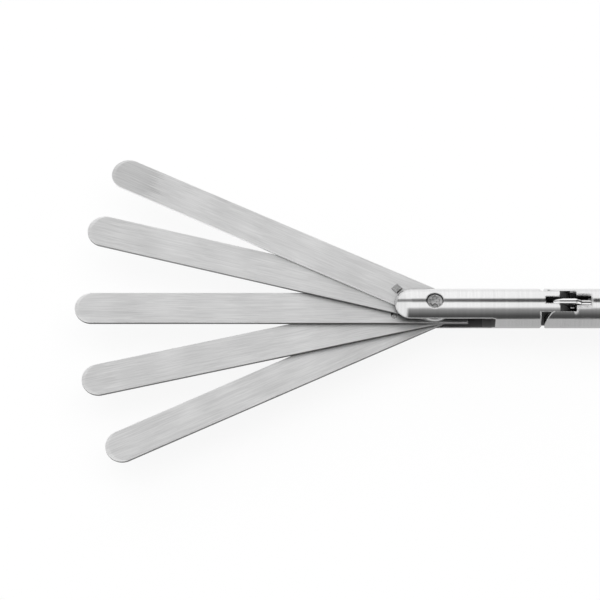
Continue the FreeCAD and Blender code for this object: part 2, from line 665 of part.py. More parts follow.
def make_bending_joint():
    """The fork, its hinge pins, the head link with its pins and the tube that pulls the link."""
    fork = new_body("shaft_fork", x="hinge_x")
    spigot = "tube_bore - seat_gap"
    turn(fork, "Revolution", outline(new_sketch(fork, "XZ"), [
        ("-ear_radius - 1", "0"), ("-ear_radius - 1", "shaft_radius"),
        ("hinge_setback - seam_break", "shaft_radius"),
        ("hinge_setback", "shaft_radius - seam_break"), ("hinge_setback", spigot),
        ("hinge_setback + spigot_length", spigot), ("hinge_setback + spigot_length", "fork_bore"),
        ("window_reach - 1", "fork_bore"), ("window_reach - 1", "0")]))
    ear = "(tongue_half + running_gap)"
    corner = "(window_reach - window_corner)"
    inner = "(tongue_half + running_gap - window_corner)"
    extrude(fork, "Pocket", outline(new_sketch(fork, "XY"), [
        ("-ear_radius - 2", "-" + ear), (corner, "-" + ear),
        Round(corner, "-" + inner, False), ("window_reach", "-" + inner),
        ("window_reach", inner), Round(corner, inner, False),
        (corner, ear), ("-ear_radius - 2", ear)]))
    rim = "(ear_radius + 1)"
    extrude(fork, "Pocket", outline(new_sketch(fork, "XZ"), [
        ("0", "-ear_radius"), Round("0", "0", True), ("0", "ear_radius"), ("0", rim),
        ("-ear_radius - 2", rim), ("-ear_radius - 2", "-" + rim), ("0", "-" + rim)]))
    half = "fork_slot_width / 2"
    corner = "(fork_slot_reach - window_corner)"
    inner = "(fork_slot_width / 2 - window_corner)"
    extrude(fork, "Pocket", outline(new_sketch(fork, "XY"), [
        ("window_reach - 1", "-" + half), (corner, "-" + half), Round(corner, "-" + inner, False),
        ("fork_slot_reach", "-" + inner), ("fork_slot_reach", inner), Round(corner, inner, False),
        (corner, half), ("window_reach - 1", half)]), symmetric=False, reverse=True)
    extrude(fork, "Pocket", hole(new_sketch(fork, "XZ"), "0", "0",
                                 "hinge_pin_diameter / 2 + seat_gap"))

    pins = new_body("hinge_pins", x="hinge_x")
    rods = new_sketch(pins, "XY")
    for side in ("", "-"):
        box_outline(rods, "0", "hinge_pin_diameter / 2", side + "hinge_pin_depth",
                    side + "(shaft_radius + 1)")
    turn(pins, "Revolution", rods, "V")
    # the pins are dressed flush with the round fork
    turn(pins, "Groove", box_outline(new_sketch(pins, "XZ"), "-hinge_pin_diameter",
                                     "hinge_pin_diameter", "shaft_radius", "shaft_radius + 2"))

    # the plate of the link: a large front eye, a flat back, a dip into the tube, a small rear eye
    link = new_body("head_link", x="hinge_x")
    front, height = "-front_pin_setback", "front_pin_height"
    top = "(front_pin_height + bend_link_eye)"
    rear_top = "(rear_pin_height + bend_link_rear_eye)"
    plate = outline(new_sketch(link, "XZ"), [
        (front, "front_pin_height - bend_link_eye"), Round(front, height, True), (front, top),
        ("bend_link_back", top), ("bend_link_back + bend_link_dip", rear_top + " + 0.1"),
        ("rear_pin_reach", rear_top), Round("rear_pin_reach", "rear_pin_height", True),
        ("rear_pin_reach", "rear_pin_height - bend_link_rear_eye")])
    # the front eye is open enough for the pin's rise and fall as the head turns
    hole(plate, front, "(front_pin_height + sqrt(front_pin_height^2 + front_pin_setback^2)) / 2",
         "bend_link_pin / 2 + bend_link_play")
    hole(plate, "rear_pin_reach", "rear_pin_height", "bend_link_pin / 2 + running_gap")
    extrude(link, "Pad", plate, "bend_link_width")

    front_pin = new_body("link_front_pin", x="hinge_x")
    extrude(front_pin, "Pad", hole(new_sketch(front_pin, "XZ"), front, height, "bend_link_pin / 2"),
            "tongue_width - end_gap")

    # the rear pin is dressed flush with the tube
    rod = doc.addObject("Part::Cylinder", "rear_pin_rod")
    bind(rod, Radius="bend_link_pin / 2", Height="bend_tube_diameter")
    place(rod, x="hinge_x + rear_pin_reach", y="bend_tube_radius", z="rear_pin_height",
          turn="90", axis=(1, 0, 0))
    flush = doc.addObject("Part::Cylinder", "rear_pin_flush")
    bind(flush, Radius="bend_tube_radius", Height="hinge_setback")
    place(flush, x="hinge_x", turn="90", axis=(0, 1, 0))
    rear_pin = doc.addObject("Part::Common", "link_rear_pin")
    rear_pin.Base, rear_pin.Tool = rod, flush
    rear_pin.Label = "link_rear_pin"
    nodes.append(rear_pin)

    tube = turned("bend_tube", [
        ("hinge_x + bend_tube_reach", "bend_tube_bore"),
        ("hinge_x + bend_tube_reach", "bend_tube_radius"),
        ("tube_length + carriage_back", "bend_tube_radius"),
        ("tube_length + carriage_back", "bend_tube_bore")])
    gap = "(bend_link_width / 2 + running_gap)"
    extrude(tube, "Pocket", box_outline(
        new_sketch(tube, "XY"), "hinge_x + bend_tube_reach - 1",
        "hinge_x + rear_pin_reach + bend_link_rear_eye + 0.4", "-" + gap, gap),
        symmetric=False, reverse=True)
    extrude(tube, "Pocket", hole(new_sketch(tube, "XZ"), "hinge_x + rear_pin_reach",
                                 "rear_pin_height", "bend_link_pin / 2 + seat_gap"))


def make_shaft():
    """The outer tube, the drive rod and the guides that keep tube and rod in line."""
    end = "tube_length + tube_seat"
    turned("outer_tube", [
        ("0", "tube_bore"), ("0", "shaft_radius - seam_break"), ("seam_break", "shaft_radius"),
        ("tube_length", "shaft_radius"), ("tube_length", "tube_seat_radius"),
        (end, "tube_seat_radius"), (end, "tube_bore")])
    socket = "cable_diameter / 2 + seat_gap"
    rod_end = "tube_length + spindle_start + spindle_socket"
    turned("drive_rod", [
        ("rod_start", socket), ("rod_start", "rod_radius - 0.2"), ("rod_start + 0.2", "rod_radius"),
        (rod_end, "rod_radius"), (rod_end, "0"), ("rod_start + cable_grip", "0"),
        ("rod_start + cable_grip", socket)])

    rod_guides = new_body("rod_guides")
    rings = new_sketch(rod_guides, "XZ")
    for share in (1, 4, 7):
        box_outline(rings, f"tube_length * {share} / 8", f"tube_length * {share} / 8 + guide_length",
                    "rod_radius + running_gap", "bend_tube_bore - seat_gap")
    turn(rod_guides, "Revolution", rings)

    tube_guides = new_body("tube_guides")
    rings = new_sketch(tube_guides, "XZ")
    for share in (1, 2):
        box_outline(rings, f"tube_length * {share} / 3", f"tube_length * {share} / 3 + guide_length",
                    "bend_tube_radius + running_gap", "tube_bore - seat_gap")
    turn(tube_guides, "Revolution", rings)


def make_nose():
    """The nose cone that holds the shaft, with the flush port, the tube's seal and grub screws."""
    nose = new_body("nose_cone", x="tube_length")
    tip = "(nose_tip_diameter / 2)"
    flare = "(grip_radius - nose_tip_diameter / 2)"
    run = "(nose_length - 6)"
    turn(nose, "Revolution", outline(new_sketch(nose, "XZ"), [
        ("0", "0"), ("0", tip + " - edge_break"), ("edge_break", tip), ("3", tip),
        Round(run, f"grip_radius - (({run} - 3)^2 + {flare}^2) / (2 * {flare})", True),
        (run, "grip_radius"), ("nose_length - edge_break", "grip_radius"),
        ("nose_length", "grip_radius - edge_break"), ("nose_length", "wheel_bore_radius - running_gap"),
        ("wheel_start + spigot_reach", "wheel_bore_radius - running_gap"),
        ("wheel_start + spigot_reach", "0")]))
    boss = hole(new_sketch(nose, "XY"), "port_place", "0", "port_flange / 2 + 0.3")
    extrude(nose, "Pad", boss, "port_boss", symmetric=False)
    guide = "bend_tube_radius + running_gap"
    slack = "(seal_thickness / 2 + 0.3)"
    turn(nose, "Groove", outline(new_sketch(nose, "XZ"), [
        ("-1", "0"), ("-1", "tube_seat_radius + seat_gap"),
        ("tube_seat", "tube_seat_radius + seat_gap"),
        ("tube_seat", "tube_bore"), ("tube_seat + chamber_length", "tube_bore"),
        ("tube_seat + chamber_length", guide), (f"seal_place - {slack}", guide),
        (f"seal_place - {slack}", "nose_groove"), (f"seal_place + {slack}", "nose_groove"),
        (f"seal_place + {slack}", guide), ("core_seat", guide),
        ("core_seat", "core_radius + seat_gap"), ("nose_length + 9", "core_radius + seat_gap"),
        ("nose_length + 9", "0")]))
    port = new_sketch(nose, "XZ", {"AttachmentOffset__Base__x": "port_place"})
    stem = "port_stem / 2 + seat_gap"
    turn(nose, "Groove", outline(port, [
        ("0", "0"), ("port_passage / 2", "0"), ("port_passage / 2", "shaft_radius + 0.5"),
        (stem, "shaft_radius + 0.5"), (stem, "port_boss + 1"), ("0", "port_boss + 1")]), "V")
    grub_hole(nose, "core_seat + 4")

    flush = turned("flush_port", [
        ("port_passage / 2", "shaft_radius + 0.5"), ("port_stem / 2", "shaft_radius + 0.5"),
        ("port_stem / 2", "port_boss"), ("port_flange / 2", "port_boss"),
        ("port_flange / 2", "port_boss + port_flange_height"),
        ("port_barrel / 2", "port_boss + port_flange_height"), ("port_barrel / 2", "port_top - 0.3"),
        ("port_barrel / 2 - 0.3", "port_top"), ("port_bore / 2", "port_top"),
        ("port_bore / 2", "port_top - port_bore_length"),
        ("port_passage / 2", "port_top - port_bore_length")], "V", x="tube_length + port_place")
    lugs = new_sketch(flush, "XY", {"AttachmentOffset__Base__z": "port_top - 0.3"})
    for side in ("", "-"):
        box_outline(lugs, "-1.1", "1.1", side + "(port_barrel / 2 - 0.3)", side + "(port_lug / 2)")
    extrude(flush, "Pad", lugs, "1", symmetric=False, reverse=True)

    seal = doc.addObject("Part::Torus", "tube_seal")
    bind(seal, Radius1="bend_tube_radius + seat_gap + seal_thickness / 2", Radius2="seal_thickness / 2")
    place(seal, x="tube_length + seal_place", turn="90", axis=(0, 1, 0))
    seal.Label = "tube_seal"
    nodes.append(seal)

    grubs = new_body("grub_screws", x="tube_length")
    for spot in ("core_seat + 4", "grip_start + 4"):
        screw = new_sketch(grubs, "XZ", {"AttachmentOffset__Base__x": spot})
        radius = "grub_diameter / 2"
        turn(grubs, "Revolution", outline(screw, [
            ("0", "core_radius"), (radius + " - 0.4", "core_radius"), (radius, "core_radius + 0.4"),
            (radius, "grip_radius - grub_setback"), ("0", "grip_radius - grub_setback")]), "V")
        socket = new_sketch(grubs, "XY", {"AttachmentOffset__Base__x": spot,
                                          "AttachmentOffset__Base__z": "grip_radius - grub_setback"})
        outline(socket, [(f"grub_key / sqrt(3) * cos({corner})", f"grub_key / sqrt(3) * sin({corner})")
                         for corner in range(0, 360, 60)])
        extrude(grubs, "Pocket", socket, "grub_key", symmetric=False)


def grub_hole(body, spot):
    """The threaded hole of a grub screw, from the core out through a sleeve."""
    radius = "grub_diameter / 2 + seat_gap"
    cut = new_sketch(body, "XZ", {"AttachmentOffset__Base__x": spot})
    turn(body, "Groove", outline(cut, [
        ("0", "core_radius - 0.5"), (radius, "core_radius - 0.5"), (radius, "grip_radius + 1"),
        ("0", "grip_radius + 1")]), "V")


def make_core():
    """The handle's core: a split front for the carriage's keys and a bore for the spindle."""
    core = new_body("handle_core", x="tube_length")
    groove = "core_radius - ring_depth"
    turn(core, "Revolution", outline(new_sketch(core, "XZ"), [
        ("core_seat + end_gap", "core_bore_radius"), ("core_seat + end_gap", "core_radius"),
        ("ring_place - running_gap", "core_radius"), ("ring_place - running_gap", groove),
        ("ring_place + ring_thickness + running_gap", groove),
        ("ring_place + ring_thickness + running_gap", "core_radius"),
        ("core_end", "core_radius"), ("core_end", "spindle_radius + running_gap"),
        ("spindle_room", "spindle_radius + running_gap"),
        ("spindle_room", "rod_radius + 2 * running_gap"),
        ("core_bore_end", "rod_radius + 2 * running_gap"), ("core_bore_end", "core_bore_radius")]))
    key = "(key_width / 2 + running_gap)"
    slot = new_sketch(core, "XZ")
    box_outline(slot, "core_seat - 1", "key_slot_end", "-" + key, key)
    extrude(core, "Pocket", slot)
    radius = "spindle_key_diameter / 2 + seat_gap"
    cut = new_sketch(core, "XZ", {"AttachmentOffset__Base__x": "spindle_key_place"})
    turn(core, "Groove", outline(cut, [
        ("0", "0"), (radius, "0"), (radius, "core_radius + 1"), ("0", "core_radius + 1")]), "V")

    carriage = new_body("bend_carriage", x="tube_length")
    rings = new_sketch(carriage, "XZ")
    box_outline(rings, "carriage_front", "carriage_back", "bend_tube_radius + seat_gap",
                "core_bore_radius - running_gap")
    box_outline(rings, "carriage_front", "carriage_back", "core_radius + running_gap",
                "wheel_bore_radius - 2 * running_gap")
    turn(carriage, "Revolution", rings)
    keys = new_sketch(carriage, "XY")
    for side in ("", "-"):
        box_outline(keys, "carriage_front", "carriage_back", side + "(bend_tube_radius + 0.5)",
                    side + "(core_radius + 1)")
    extrude(carriage, "Pad", keys, "key_width")


def make_wheel():
    """The articulation wheel with its scallops, and the two washers beside it."""
    wheel = new_body("bend_wheel", x="tube_length")
    rim, edge = "wheel_diameter / 2", "edge_break * 1.5"
    turn(wheel, "Revolution", outline(new_sketch(wheel, "XZ"), [
        ("wheel_start", "wheel_bore_radius"), ("wheel_start", f"{rim} - {edge}"),
        (f"wheel_start + {edge}", rim), (f"wheel_end - {edge}", rim),
        ("wheel_end", f"{rim} - {edge}"), ("wheel_end", "wheel_bore_radius")]))
    cut = hole(new_sketch(wheel, "YZ"), "0", "wheel_diameter / 2 + scallop_radius - scallop_depth",
               "scallop_radius")
    repeat(wheel, extrude(wheel, "Pocket", cut), "wheel_scallops")

    washers = new_body("wheel_washers", x="tube_length")
    rings = new_sketch(washers, "XZ")
    for face in ("nose_length", "wheel_end"):
        box_outline(rings, face + " + running_gap", face + " + running_gap + handle_washer",
                    "wheel_bore_radius + running_gap", "grip_radius - edge_break")
    turn(washers, "Revolution", rings)


def make_grip():
    """The grip sleeve with its row of ring grooves."""
    grip = new_body("grip_sleeve", x="tube_length")
    spigot = "wheel_bore_radius - running_gap"
    turn(grip, "Revolution", outline(new_sketch(grip, "XZ"), [
        ("key_slot_end", "core_radius + seat_gap"), ("key_slot_end", spigot), ("grip_start", spigot),
        ("grip_start", "grip_radius - edge_break"), ("grip_start + edge_break", "grip_radius"),
        ("grip_end - edge_break", "grip_radius"), ("grip_end", "grip_radius - edge_break"),
        ("grip_end", "core_radius + seat_gap")]))
    grooves = new_sketch(grip, "XZ")
    middle = "(grip_start + grip_end) / 2"
    count = SIZES["grip_grooves"]
    for index in range(count):
        x = f"{middle} + {index - (count - 1) / 2} * grip_groove_pitch"
        floor = "grip_radius - grip_groove_depth"
        outline(grooves, [(f"{x} - grip_groove_depth * 2", "grip_radius + 0.1"), (x, floor),
                          (f"{x} + grip_groove_depth * 2", "grip_radius + 0.1")])
    turn(grip, "Groove", grooves)
    grub_hole(grip, "grip_start + 4")


def make_knob():
    """The spread knob, what holds it on the core, and the spindle that it draws in."""
    knob = new_body("spread_knob", x="tube_length")
    rim, edge = "knob_diameter / 2", "edge_break * 2"
    turn(knob, "Revolution", outline(new_sketch(knob, "XZ"), [
        ("knob_start", "core_radius + running_gap"), ("knob_start", f"{rim} - {edge}"),
        (f"knob_start + {edge}", rim), (f"knob_end - {edge}", rim), ("knob_end", f"{rim} - {edge}"),
        ("knob_end", "knob_recess / 2"), ("recess_start", "knob_recess / 2"),
        ("recess_start", "core_radius + running_gap")]))
    cut = hole(new_sketch(knob, "YZ"), "0", "knob_diameter / 2 + flute_radius - flute_depth",
               "flute_radius")
    repeat(knob, extrude(knob, "Pocket", cut), "knob_flutes")

    turned("knob_washer", [
        ("grip_end + running_gap", "core_radius + running_gap"),
        ("grip_end + running_gap", "grip_radius - edge_break"),
        ("grip_end + running_gap + handle_washer", "grip_radius - edge_break"),
        ("grip_end + running_gap + handle_washer", "core_radius + running_gap")], x="tube_length")

    ring = new_body("knob_retaining_ring", x="tube_length")
    inside = "core_radius - ring_depth + running_gap"
    turn(ring, "Revolution", box_outline(
        new_sketch(ring, "XZ"), "ring_place", "ring_place + ring_thickness", inside,
        inside + " + ring_width"))
    extrude(ring, "Pocket", box_outline(
        new_sketch(ring, "XY"), "ring_place - 1", "ring_place + ring_thickness + 1", "-1", "1"),
        symmetric=False, reverse=True)

    bore = "knob_recess / 2 - seat_gap"
    turned("knob_nut", [
        ("nut_end - nut_length", "spindle_radius + running_gap"), ("nut_end - nut_length", bore),
        ("nut_end", bore), ("nut_end", "spindle_radius + running_gap")], x="tube_length")
    turned("end_cap", [
        ("nut_end", "0"), ("nut_end", bore), ("knob_end", bore), ("knob_end", "cap_diameter / 2"),
        ("knob_end + cap_thickness - edge_break * 1.5", "cap_diameter / 2"),
        ("knob_end + cap_thickness", "cap_diameter / 2 - edge_break * 1.5"),
        ("knob_end + cap_thickness", "0")], x="tube_length")

    socket = "rod_radius + seat_gap"
    spindle = turned("spindle", [
        ("spindle_start", socket), ("spindle_start", "spindle_radius - 0.5"),
        ("spindle_start + 0.5", "spindle_radius"), ("spindle_end - 0.5", "spindle_radius"),
        ("spindle_end", "spindle_radius - 0.5"), ("spindle_end", "0"),
        ("spindle_start + spindle_socket", "0"),
        ("spindle_start + spindle_socket", socket)], x="tube_length")
    half = "spindle_key_diameter / 2"
    floor = "(spindle_radius - spindle_key_depth)"
    groove = box_outline(
        new_sketch(spindle, "XZ"), "spindle_key_place - spindle_key_diameter * 3",
        "spindle_key_place + spindle_key_diameter * 3", floor, "spindle_radius + 1")
    extrude(spindle, "Pocket", groove, "spindle_key_diameter + 2 * running_gap")
    turned("spindle_key_pin", [
        ("0", floor + " + end_gap"), (half, floor + " + end_gap"), (half, "key_pin_top"),
        ("0", "key_pin_top")], "V", x="tube_length + spindle_key_place")


def check_and_write():
    """Stops at a failed object, then writes each node's solids to a file of its name."""
    for thing in doc.Objects:
        if "Invalid" in thing.State or "Error" in thing.State:
            raise SystemExit(f"{thing.Name} failed: {thing.State}")
    for node in nodes:
        if node.Shape.isNull() or not node.Shape.isValid() or not node.Shape.Solids:
            raise SystemExit(f"{node.Label} has no valid shape")
    os.makedirs("parts", exist_ok=True)
    for node in nodes:
        node.Shape.exportStep(f"parts/{node.Label}.step")
        box = node.Shape.BoundBox
        print(f"{node.Label}: {len(node.Shape.Solids)} solid(s), {node.Shape.Volume:.1f} mm3,"
              f" x {box.XMin:.1f} to {box.XMax:.1f}")


doc = FreeCAD.newDocument("fan_retractor")
nodes = []
fill_sheet("sizes", {alias: str(value) for alias, value in SIZES.items()})
fill_sheet("places", {alias: "=" + named(text, PLACES) for alias, text in PLACES.items()})
workings = doc.addObject("Spreadsheet::Sheet", "workings")
make_fan()
make_spread_links()
make_yoke()
make_pivot()
make_head()
make_bending_joint()
make_shaft()
make_nose()
make_core()
make_wheel()
make_grip()
make_knob()
doc.recompute()
check_and_write()
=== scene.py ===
"""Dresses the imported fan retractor: steel finishes, a stranded cable, a polished link and a studio.

Lengths here are in metres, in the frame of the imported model: X runs along the shaft to the handle,
the blades point to -X, and Z is normal to the fan.
"""

from __future__ import annotations

import json
import logging
import math
from dataclasses import dataclass, replace
from enum import Enum
from typing import Any

import bpy
import numpy as np
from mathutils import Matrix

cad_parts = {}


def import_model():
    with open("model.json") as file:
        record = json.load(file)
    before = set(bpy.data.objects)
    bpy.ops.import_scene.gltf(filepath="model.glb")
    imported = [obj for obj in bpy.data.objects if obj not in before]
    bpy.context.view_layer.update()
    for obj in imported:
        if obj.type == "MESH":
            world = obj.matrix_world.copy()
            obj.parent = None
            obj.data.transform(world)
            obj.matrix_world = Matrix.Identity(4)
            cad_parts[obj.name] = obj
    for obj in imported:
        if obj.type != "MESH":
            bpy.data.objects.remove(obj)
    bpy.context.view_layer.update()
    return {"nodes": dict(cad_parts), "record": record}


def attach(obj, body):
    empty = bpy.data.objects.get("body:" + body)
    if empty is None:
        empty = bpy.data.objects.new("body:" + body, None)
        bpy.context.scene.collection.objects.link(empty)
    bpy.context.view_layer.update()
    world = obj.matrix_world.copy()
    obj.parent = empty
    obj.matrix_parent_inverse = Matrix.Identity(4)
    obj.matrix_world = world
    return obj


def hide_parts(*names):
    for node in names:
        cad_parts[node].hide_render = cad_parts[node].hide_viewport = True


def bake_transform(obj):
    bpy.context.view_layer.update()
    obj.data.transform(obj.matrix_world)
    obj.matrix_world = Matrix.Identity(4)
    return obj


MM = 0.001
LOG = logging.getLogger("fan_retractor")

# The camera's height over the horizon, in degrees
ELEVATION = 63.01

# Half of the width in which a polished surface gives way to a milled one with painted shade, and a narrow
# edge to a wide one
MILLED_FADE = 0.05 * MM
FILED_FADE = 0.3 * MM

WHITE = (1.0, 1.0, 1.0, 1.0)
BLACK = (0.0, 0.0, 0.0, 1.0)


class Grain(Enum):
    """Which way the tool marks of a finish run."""

    ROUND = "round the shaft's axis"
    ALONG = "along the piece"
    EVEN = "no direction"


class Wiring:
    """A node tree that is being filled."""

    def __init__(self, tree: bpy.types.NodeTree) -> None:
        """Empties the tree.

        Args:
            tree: the tree of a material, a world or a group.
        """
        self.tree = tree
        tree.nodes.clear()

    def fill(self, node: bpy.types.Node, inputs: dict[Any, Any]) -> None:
        """Fills inputs of a node.

        Args:
            node: the node.
            inputs: values or sockets by the input's name or number.
        """
        for name, value in inputs.items():
            if isinstance(value, bpy.types.NodeSocket):
                self.tree.links.new(value, node.inputs[name])
            else:
                node.inputs[name].default_value = value

    def add(self, kind: str, inputs: dict[Any, Any] | None = None, **values: Any) -> bpy.types.Node:
        """Adds a node, sets its properties and fills its inputs.

        Args:
            kind: the node's type without the word ShaderNode.
            inputs: values or sockets by the input's name or number.
            values: properties of the node.

        Returns:
            The new node.
        """
        prefix = "" if kind.startswith("Node") else "ShaderNode"
        node = self.tree.nodes.new(prefix + kind)
        for name, value in values.items():
            setattr(node, name, value)
        self.fill(node, inputs or {})
        return node

    def math(self, operation: str, *inputs: Any) -> bpy.types.NodeSocket:
        """Adds a Math node.

        Args:
            operation: the node's operation.
            inputs: its values or sockets.

        Returns:
            The result's socket.
        """
        return self.add("Math", dict(enumerate(inputs)), operation=operation).outputs[0]

    def vector(self, operation: str, *inputs: Any) -> bpy.types.Node:
        """Adds a Vector Math node.

        Args:
            operation: the node's operation.
            inputs: its values or sockets.

        Returns:
            The node, whose output is Vector or Value by its operation.
        """
        return self.add("VectorMath", dict(enumerate(inputs)), operation=operation)

    def spread(self, value: Any, low: float, high: float, to_low: float = 0.0,
               to_high: float = 1.0) -> bpy.types.NodeSocket:
        """Maps a value smoothly from one range to another.

        Args:
            value: the socket that is mapped.
            low: where the step starts.
            high: where it ends.
            to_low: the result before the step.
            to_high: the result after it.

        Returns:
            The result's socket.
        """
        node = self.add("MapRange", {"Value": value, "From Min": low, "From Max": high,
                                     "To Min": to_low, "To Max": to_high},
                        interpolation_type="SMOOTHSTEP")
        return node.outputs["Result"]

    def between(self, value: Any, start: float, stop: float, fade: float,
                share: float = 1.0) -> bpy.types.NodeSocket:
        """Gives a mask that holds between two places.

        Args:
            value: the socket that is looked at.
            start: where the mask starts.
            stop: where it ends.
            fade: half of the width of its soft ends.
            share: the mask's value inside.

        Returns:
            The mask's socket.
        """
        after = self.spread(value, start - fade, start + fade, 0.0, share)
        before = self.spread(value, stop + fade, stop - fade)
        return self.math("MULTIPLY", after, before)

    def mix(self, share: Any, first: Any, second: Any) -> bpy.types.NodeSocket:
        """Mixes two colours.

        Args:
            share: how much of the second colour shows.
            first: a colour or a socket.
            second: a colour or a socket.

        Returns:
            The colour's socket.
        """
        node = self.add("Mix", {0: share, 6: first, 7: second}, data_type="RGBA")
        return node.outputs[2]

    def ramp(self, value: Any, stops: list[tuple[float, float]]) -> bpy.types.NodeSocket:
        """Reads a grey level from a ramp.

        Args:
            value: the socket that is looked up, from 0 to 1.
            stops: places and grey levels in order.

        Returns:
            The colour's socket.
        """
        node = self.add("ValToRGB", {"Fac": value})
        elements = node.color_ramp.elements
        while len(elements) < len(stops):
            elements.new(0.5)
        for element, (place, level) in zip(elements, stops):
            element.position = place
            element.color = (level, level, level, 1)
        return node.outputs["Color"]

    def place(self) -> Any:
        """Returns the X, Y and Z sockets of the object's own coordinates."""
        return self.add("SeparateXYZ", {"Vector": self.add("TexCoord").outputs["Object"]}).outputs

    def turned(self, turn: float, centre: tuple[float, float, float]) -> bpy.types.NodeSocket:
        """Gives the coordinates of a piece that is turned about Z, with X along it.

        Args:
            turn: the piece's angle about Z, in radians.
            centre: the point that it is turned about.

        Returns:
            The coordinates' socket.
        """
        moved = self.add("Mapping", {"Vector": self.add("TexCoord").outputs["Object"], "Location": centre,
                                     "Rotation": (0.0, 0.0, turn)}, vector_type="TEXTURE")
        return moved.outputs["Vector"]


def new_group(name: str, inputs: dict[str, tuple[str, Any]],
              outputs: dict[str, str]) -> tuple[Wiring, bpy.types.Node, bpy.types.Node]:
    """Starts a shader node group with named sockets.

    Args:
        name: the group's name.
        inputs: a socket kind and a first value by name.
        outputs: a socket kind by name.

    Returns:
        The group's wiring, its input node and its output node.
    """
    tree = bpy.data.node_groups.new(name, "ShaderNodeTree")
    for label, (kind, value) in inputs.items():
        socket = tree.interface.new_socket(label, in_out="INPUT", socket_type="NodeSocket" + kind)
        if value is not None:
            socket.default_value = value
    for label, kind in outputs.items():
        tree.interface.new_socket(label, in_out="OUTPUT", socket_type="NodeSocket" + kind)
    wiring = Wiring(tree)
    return wiring, wiring.add("NodeGroupInput"), wiring.add("NodeGroupOutput")


def make_grain_group() -> bpy.types.NodeTree:
    """Builds the group of tool marks: noise that is drawn out along the marks.

    Returns:
        The group, which gives the marks' height, their tone and a slow cloud.
    """
    stray_scale, broad_scale, cloud_scale = 160.0, 0.22, 70.0
    fine_share, broad_share = 0.75, 0.25
    wiring, start, end = new_group(
        "tool_marks",
        {"Vector": ("Vector", None), "Pitch": ("Vector", (1, 1, 1)), "Wander": ("Float", 0.3)},
        {"Height": "Float", "Tone": "Float", "Cloud": "Float"})
    vector = start.outputs["Vector"]
    stray = wiring.add("TexNoise", {"Vector": vector, "Scale": stray_scale, "Detail": 2.0})
    push = wiring.vector("SUBTRACT", stray.outputs["Color"], (0.5, 0.5, 0.5))
    scaled = wiring.vector("MULTIPLY", vector, start.outputs["Pitch"])
    away = wiring.add("VectorMath", {0: push.outputs[0], "Scale": start.outputs["Wander"]}, operation="SCALE")
    place = wiring.vector("ADD", scaled.outputs[0], away.outputs[0]).outputs[0]
    fine = wiring.add("TexNoise", {"Vector": place, "Scale": 1.0, "Detail": 3.0, "Roughness": 0.65})
    broad = wiring.add("TexNoise", {"Vector": place, "Scale": broad_scale, "Detail": 2.0})
    cloud = wiring.add("TexNoise", {"Vector": vector, "Scale": cloud_scale, "Detail": 1.0})
    tone = wiring.math("ADD", wiring.math("MULTIPLY", fine.outputs["Fac"], fine_share),
                       wiring.math("MULTIPLY", broad.outputs["Fac"], broad_share))
    wiring.fill(end, {"Height": fine.outputs["Fac"], "Tone": tone, "Cloud": cloud.outputs["Fac"]})
    return wiring.tree


def make_edge_group() -> bpy.types.NodeTree:
    """Builds the group of broken edges: a normal that rounds over edges, and a mask of where it does.

    Returns:
        The group.
    """
    flat, turned = 0.99, 0.85
    wiring, start, end = new_group(
        "broken_edges", {"Radius": ("Float", 0.1 * MM)}, {"Normal": "Vector", "Edge": "Float"})
    bevel = wiring.add("Bevel", {"Radius": start.outputs["Radius"]}, samples=6)
    plain = wiring.add("NewGeometry")
    match = wiring.vector("DOT_PRODUCT", bevel.outputs["Normal"], plain.outputs["Normal"])
    edge = wiring.spread(match.outputs["Value"], flat, turned)
    wiring.fill(end, {"Normal": bevel.outputs["Normal"], "Edge": edge})
    return wiring.tree


def make_crease_shade_group() -> bpy.types.NodeTree:
    """Builds the group of creases: a mask of the narrow places between neighbouring surfaces, where the
    materials paint shade.

    Returns:
        The group.
    """
    clear, narrow = 0.82, 0.2
    wiring, start, end = new_group("creases", {"Reach": ("Float", 0.4 * MM)}, {"Crease": "Float"})
    open_sky = wiring.add("AmbientOcclusion", {"Distance": start.outputs["Reach"]}, samples=6)
    wiring.fill(end, {"Crease": wiring.spread(open_sky.outputs["AO"], clear, narrow)})
    return wiring.tree


def make_strip_group() -> bpy.types.NodeTree:
    """Builds the group of the dark strip that the steel mirrors as one line along the shaft.

    With v the way from the instrument to the photograph's camera and u the way up in its picture,
    a surface mirrors the direction l towards v where its normal is half way between the two, and
    that normal rises l.u / sqrt(2 (1 + l.v)) in the picture. The strip is where this rise is that
    of the line, so the line runs on straight over the ball nose. It thins and fades towards the nose.

    Returns:
        The group.
    """
    lower_edge, upper_edge = (0.276, 0.342), (0.545, 0.477)
    at_nose, at_hinge = 0.02, 0.065
    thinner, nose_share, full_share = 0.028, 0.74, 0.96
    above_zero = 1.001
    wiring, start, end = new_group("dark_strip", {"Direction": ("Vector", None)}, {"Strip": "Float"})
    rise = math.radians(ELEVATION)
    direction = start.outputs["Direction"]
    back = wiring.vector("DOT_PRODUCT", direction, (0.0, -math.cos(rise), math.sin(rise))).outputs["Value"]
    up = wiring.vector("DOT_PRODUCT", direction, (0.0, math.sin(rise), math.cos(rise))).outputs["Value"]
    length = wiring.math("SQRT", wiring.math("MULTIPLY", 2.0, wiring.math("ADD", above_zero, back)))
    lift = wiring.math("DIVIDE", up, length)
    along = wiring.add("SeparateXYZ", {"Vector": direction}).outputs["X"]
    thin = wiring.spread(along, at_hinge, at_nose, 0.0, thinner)
    low = wiring.spread(wiring.math("SUBTRACT", lift, thin), *lower_edge)
    high = wiring.spread(wiring.math("ADD", lift, thin), *upper_edge)
    fade = wiring.spread(along, at_nose, at_hinge, nose_share, full_share)
    wiring.fill(end, {"Strip": wiring.math("MULTIPLY", wiring.math("MULTIPLY", low, high), fade)})
    return wiring.tree


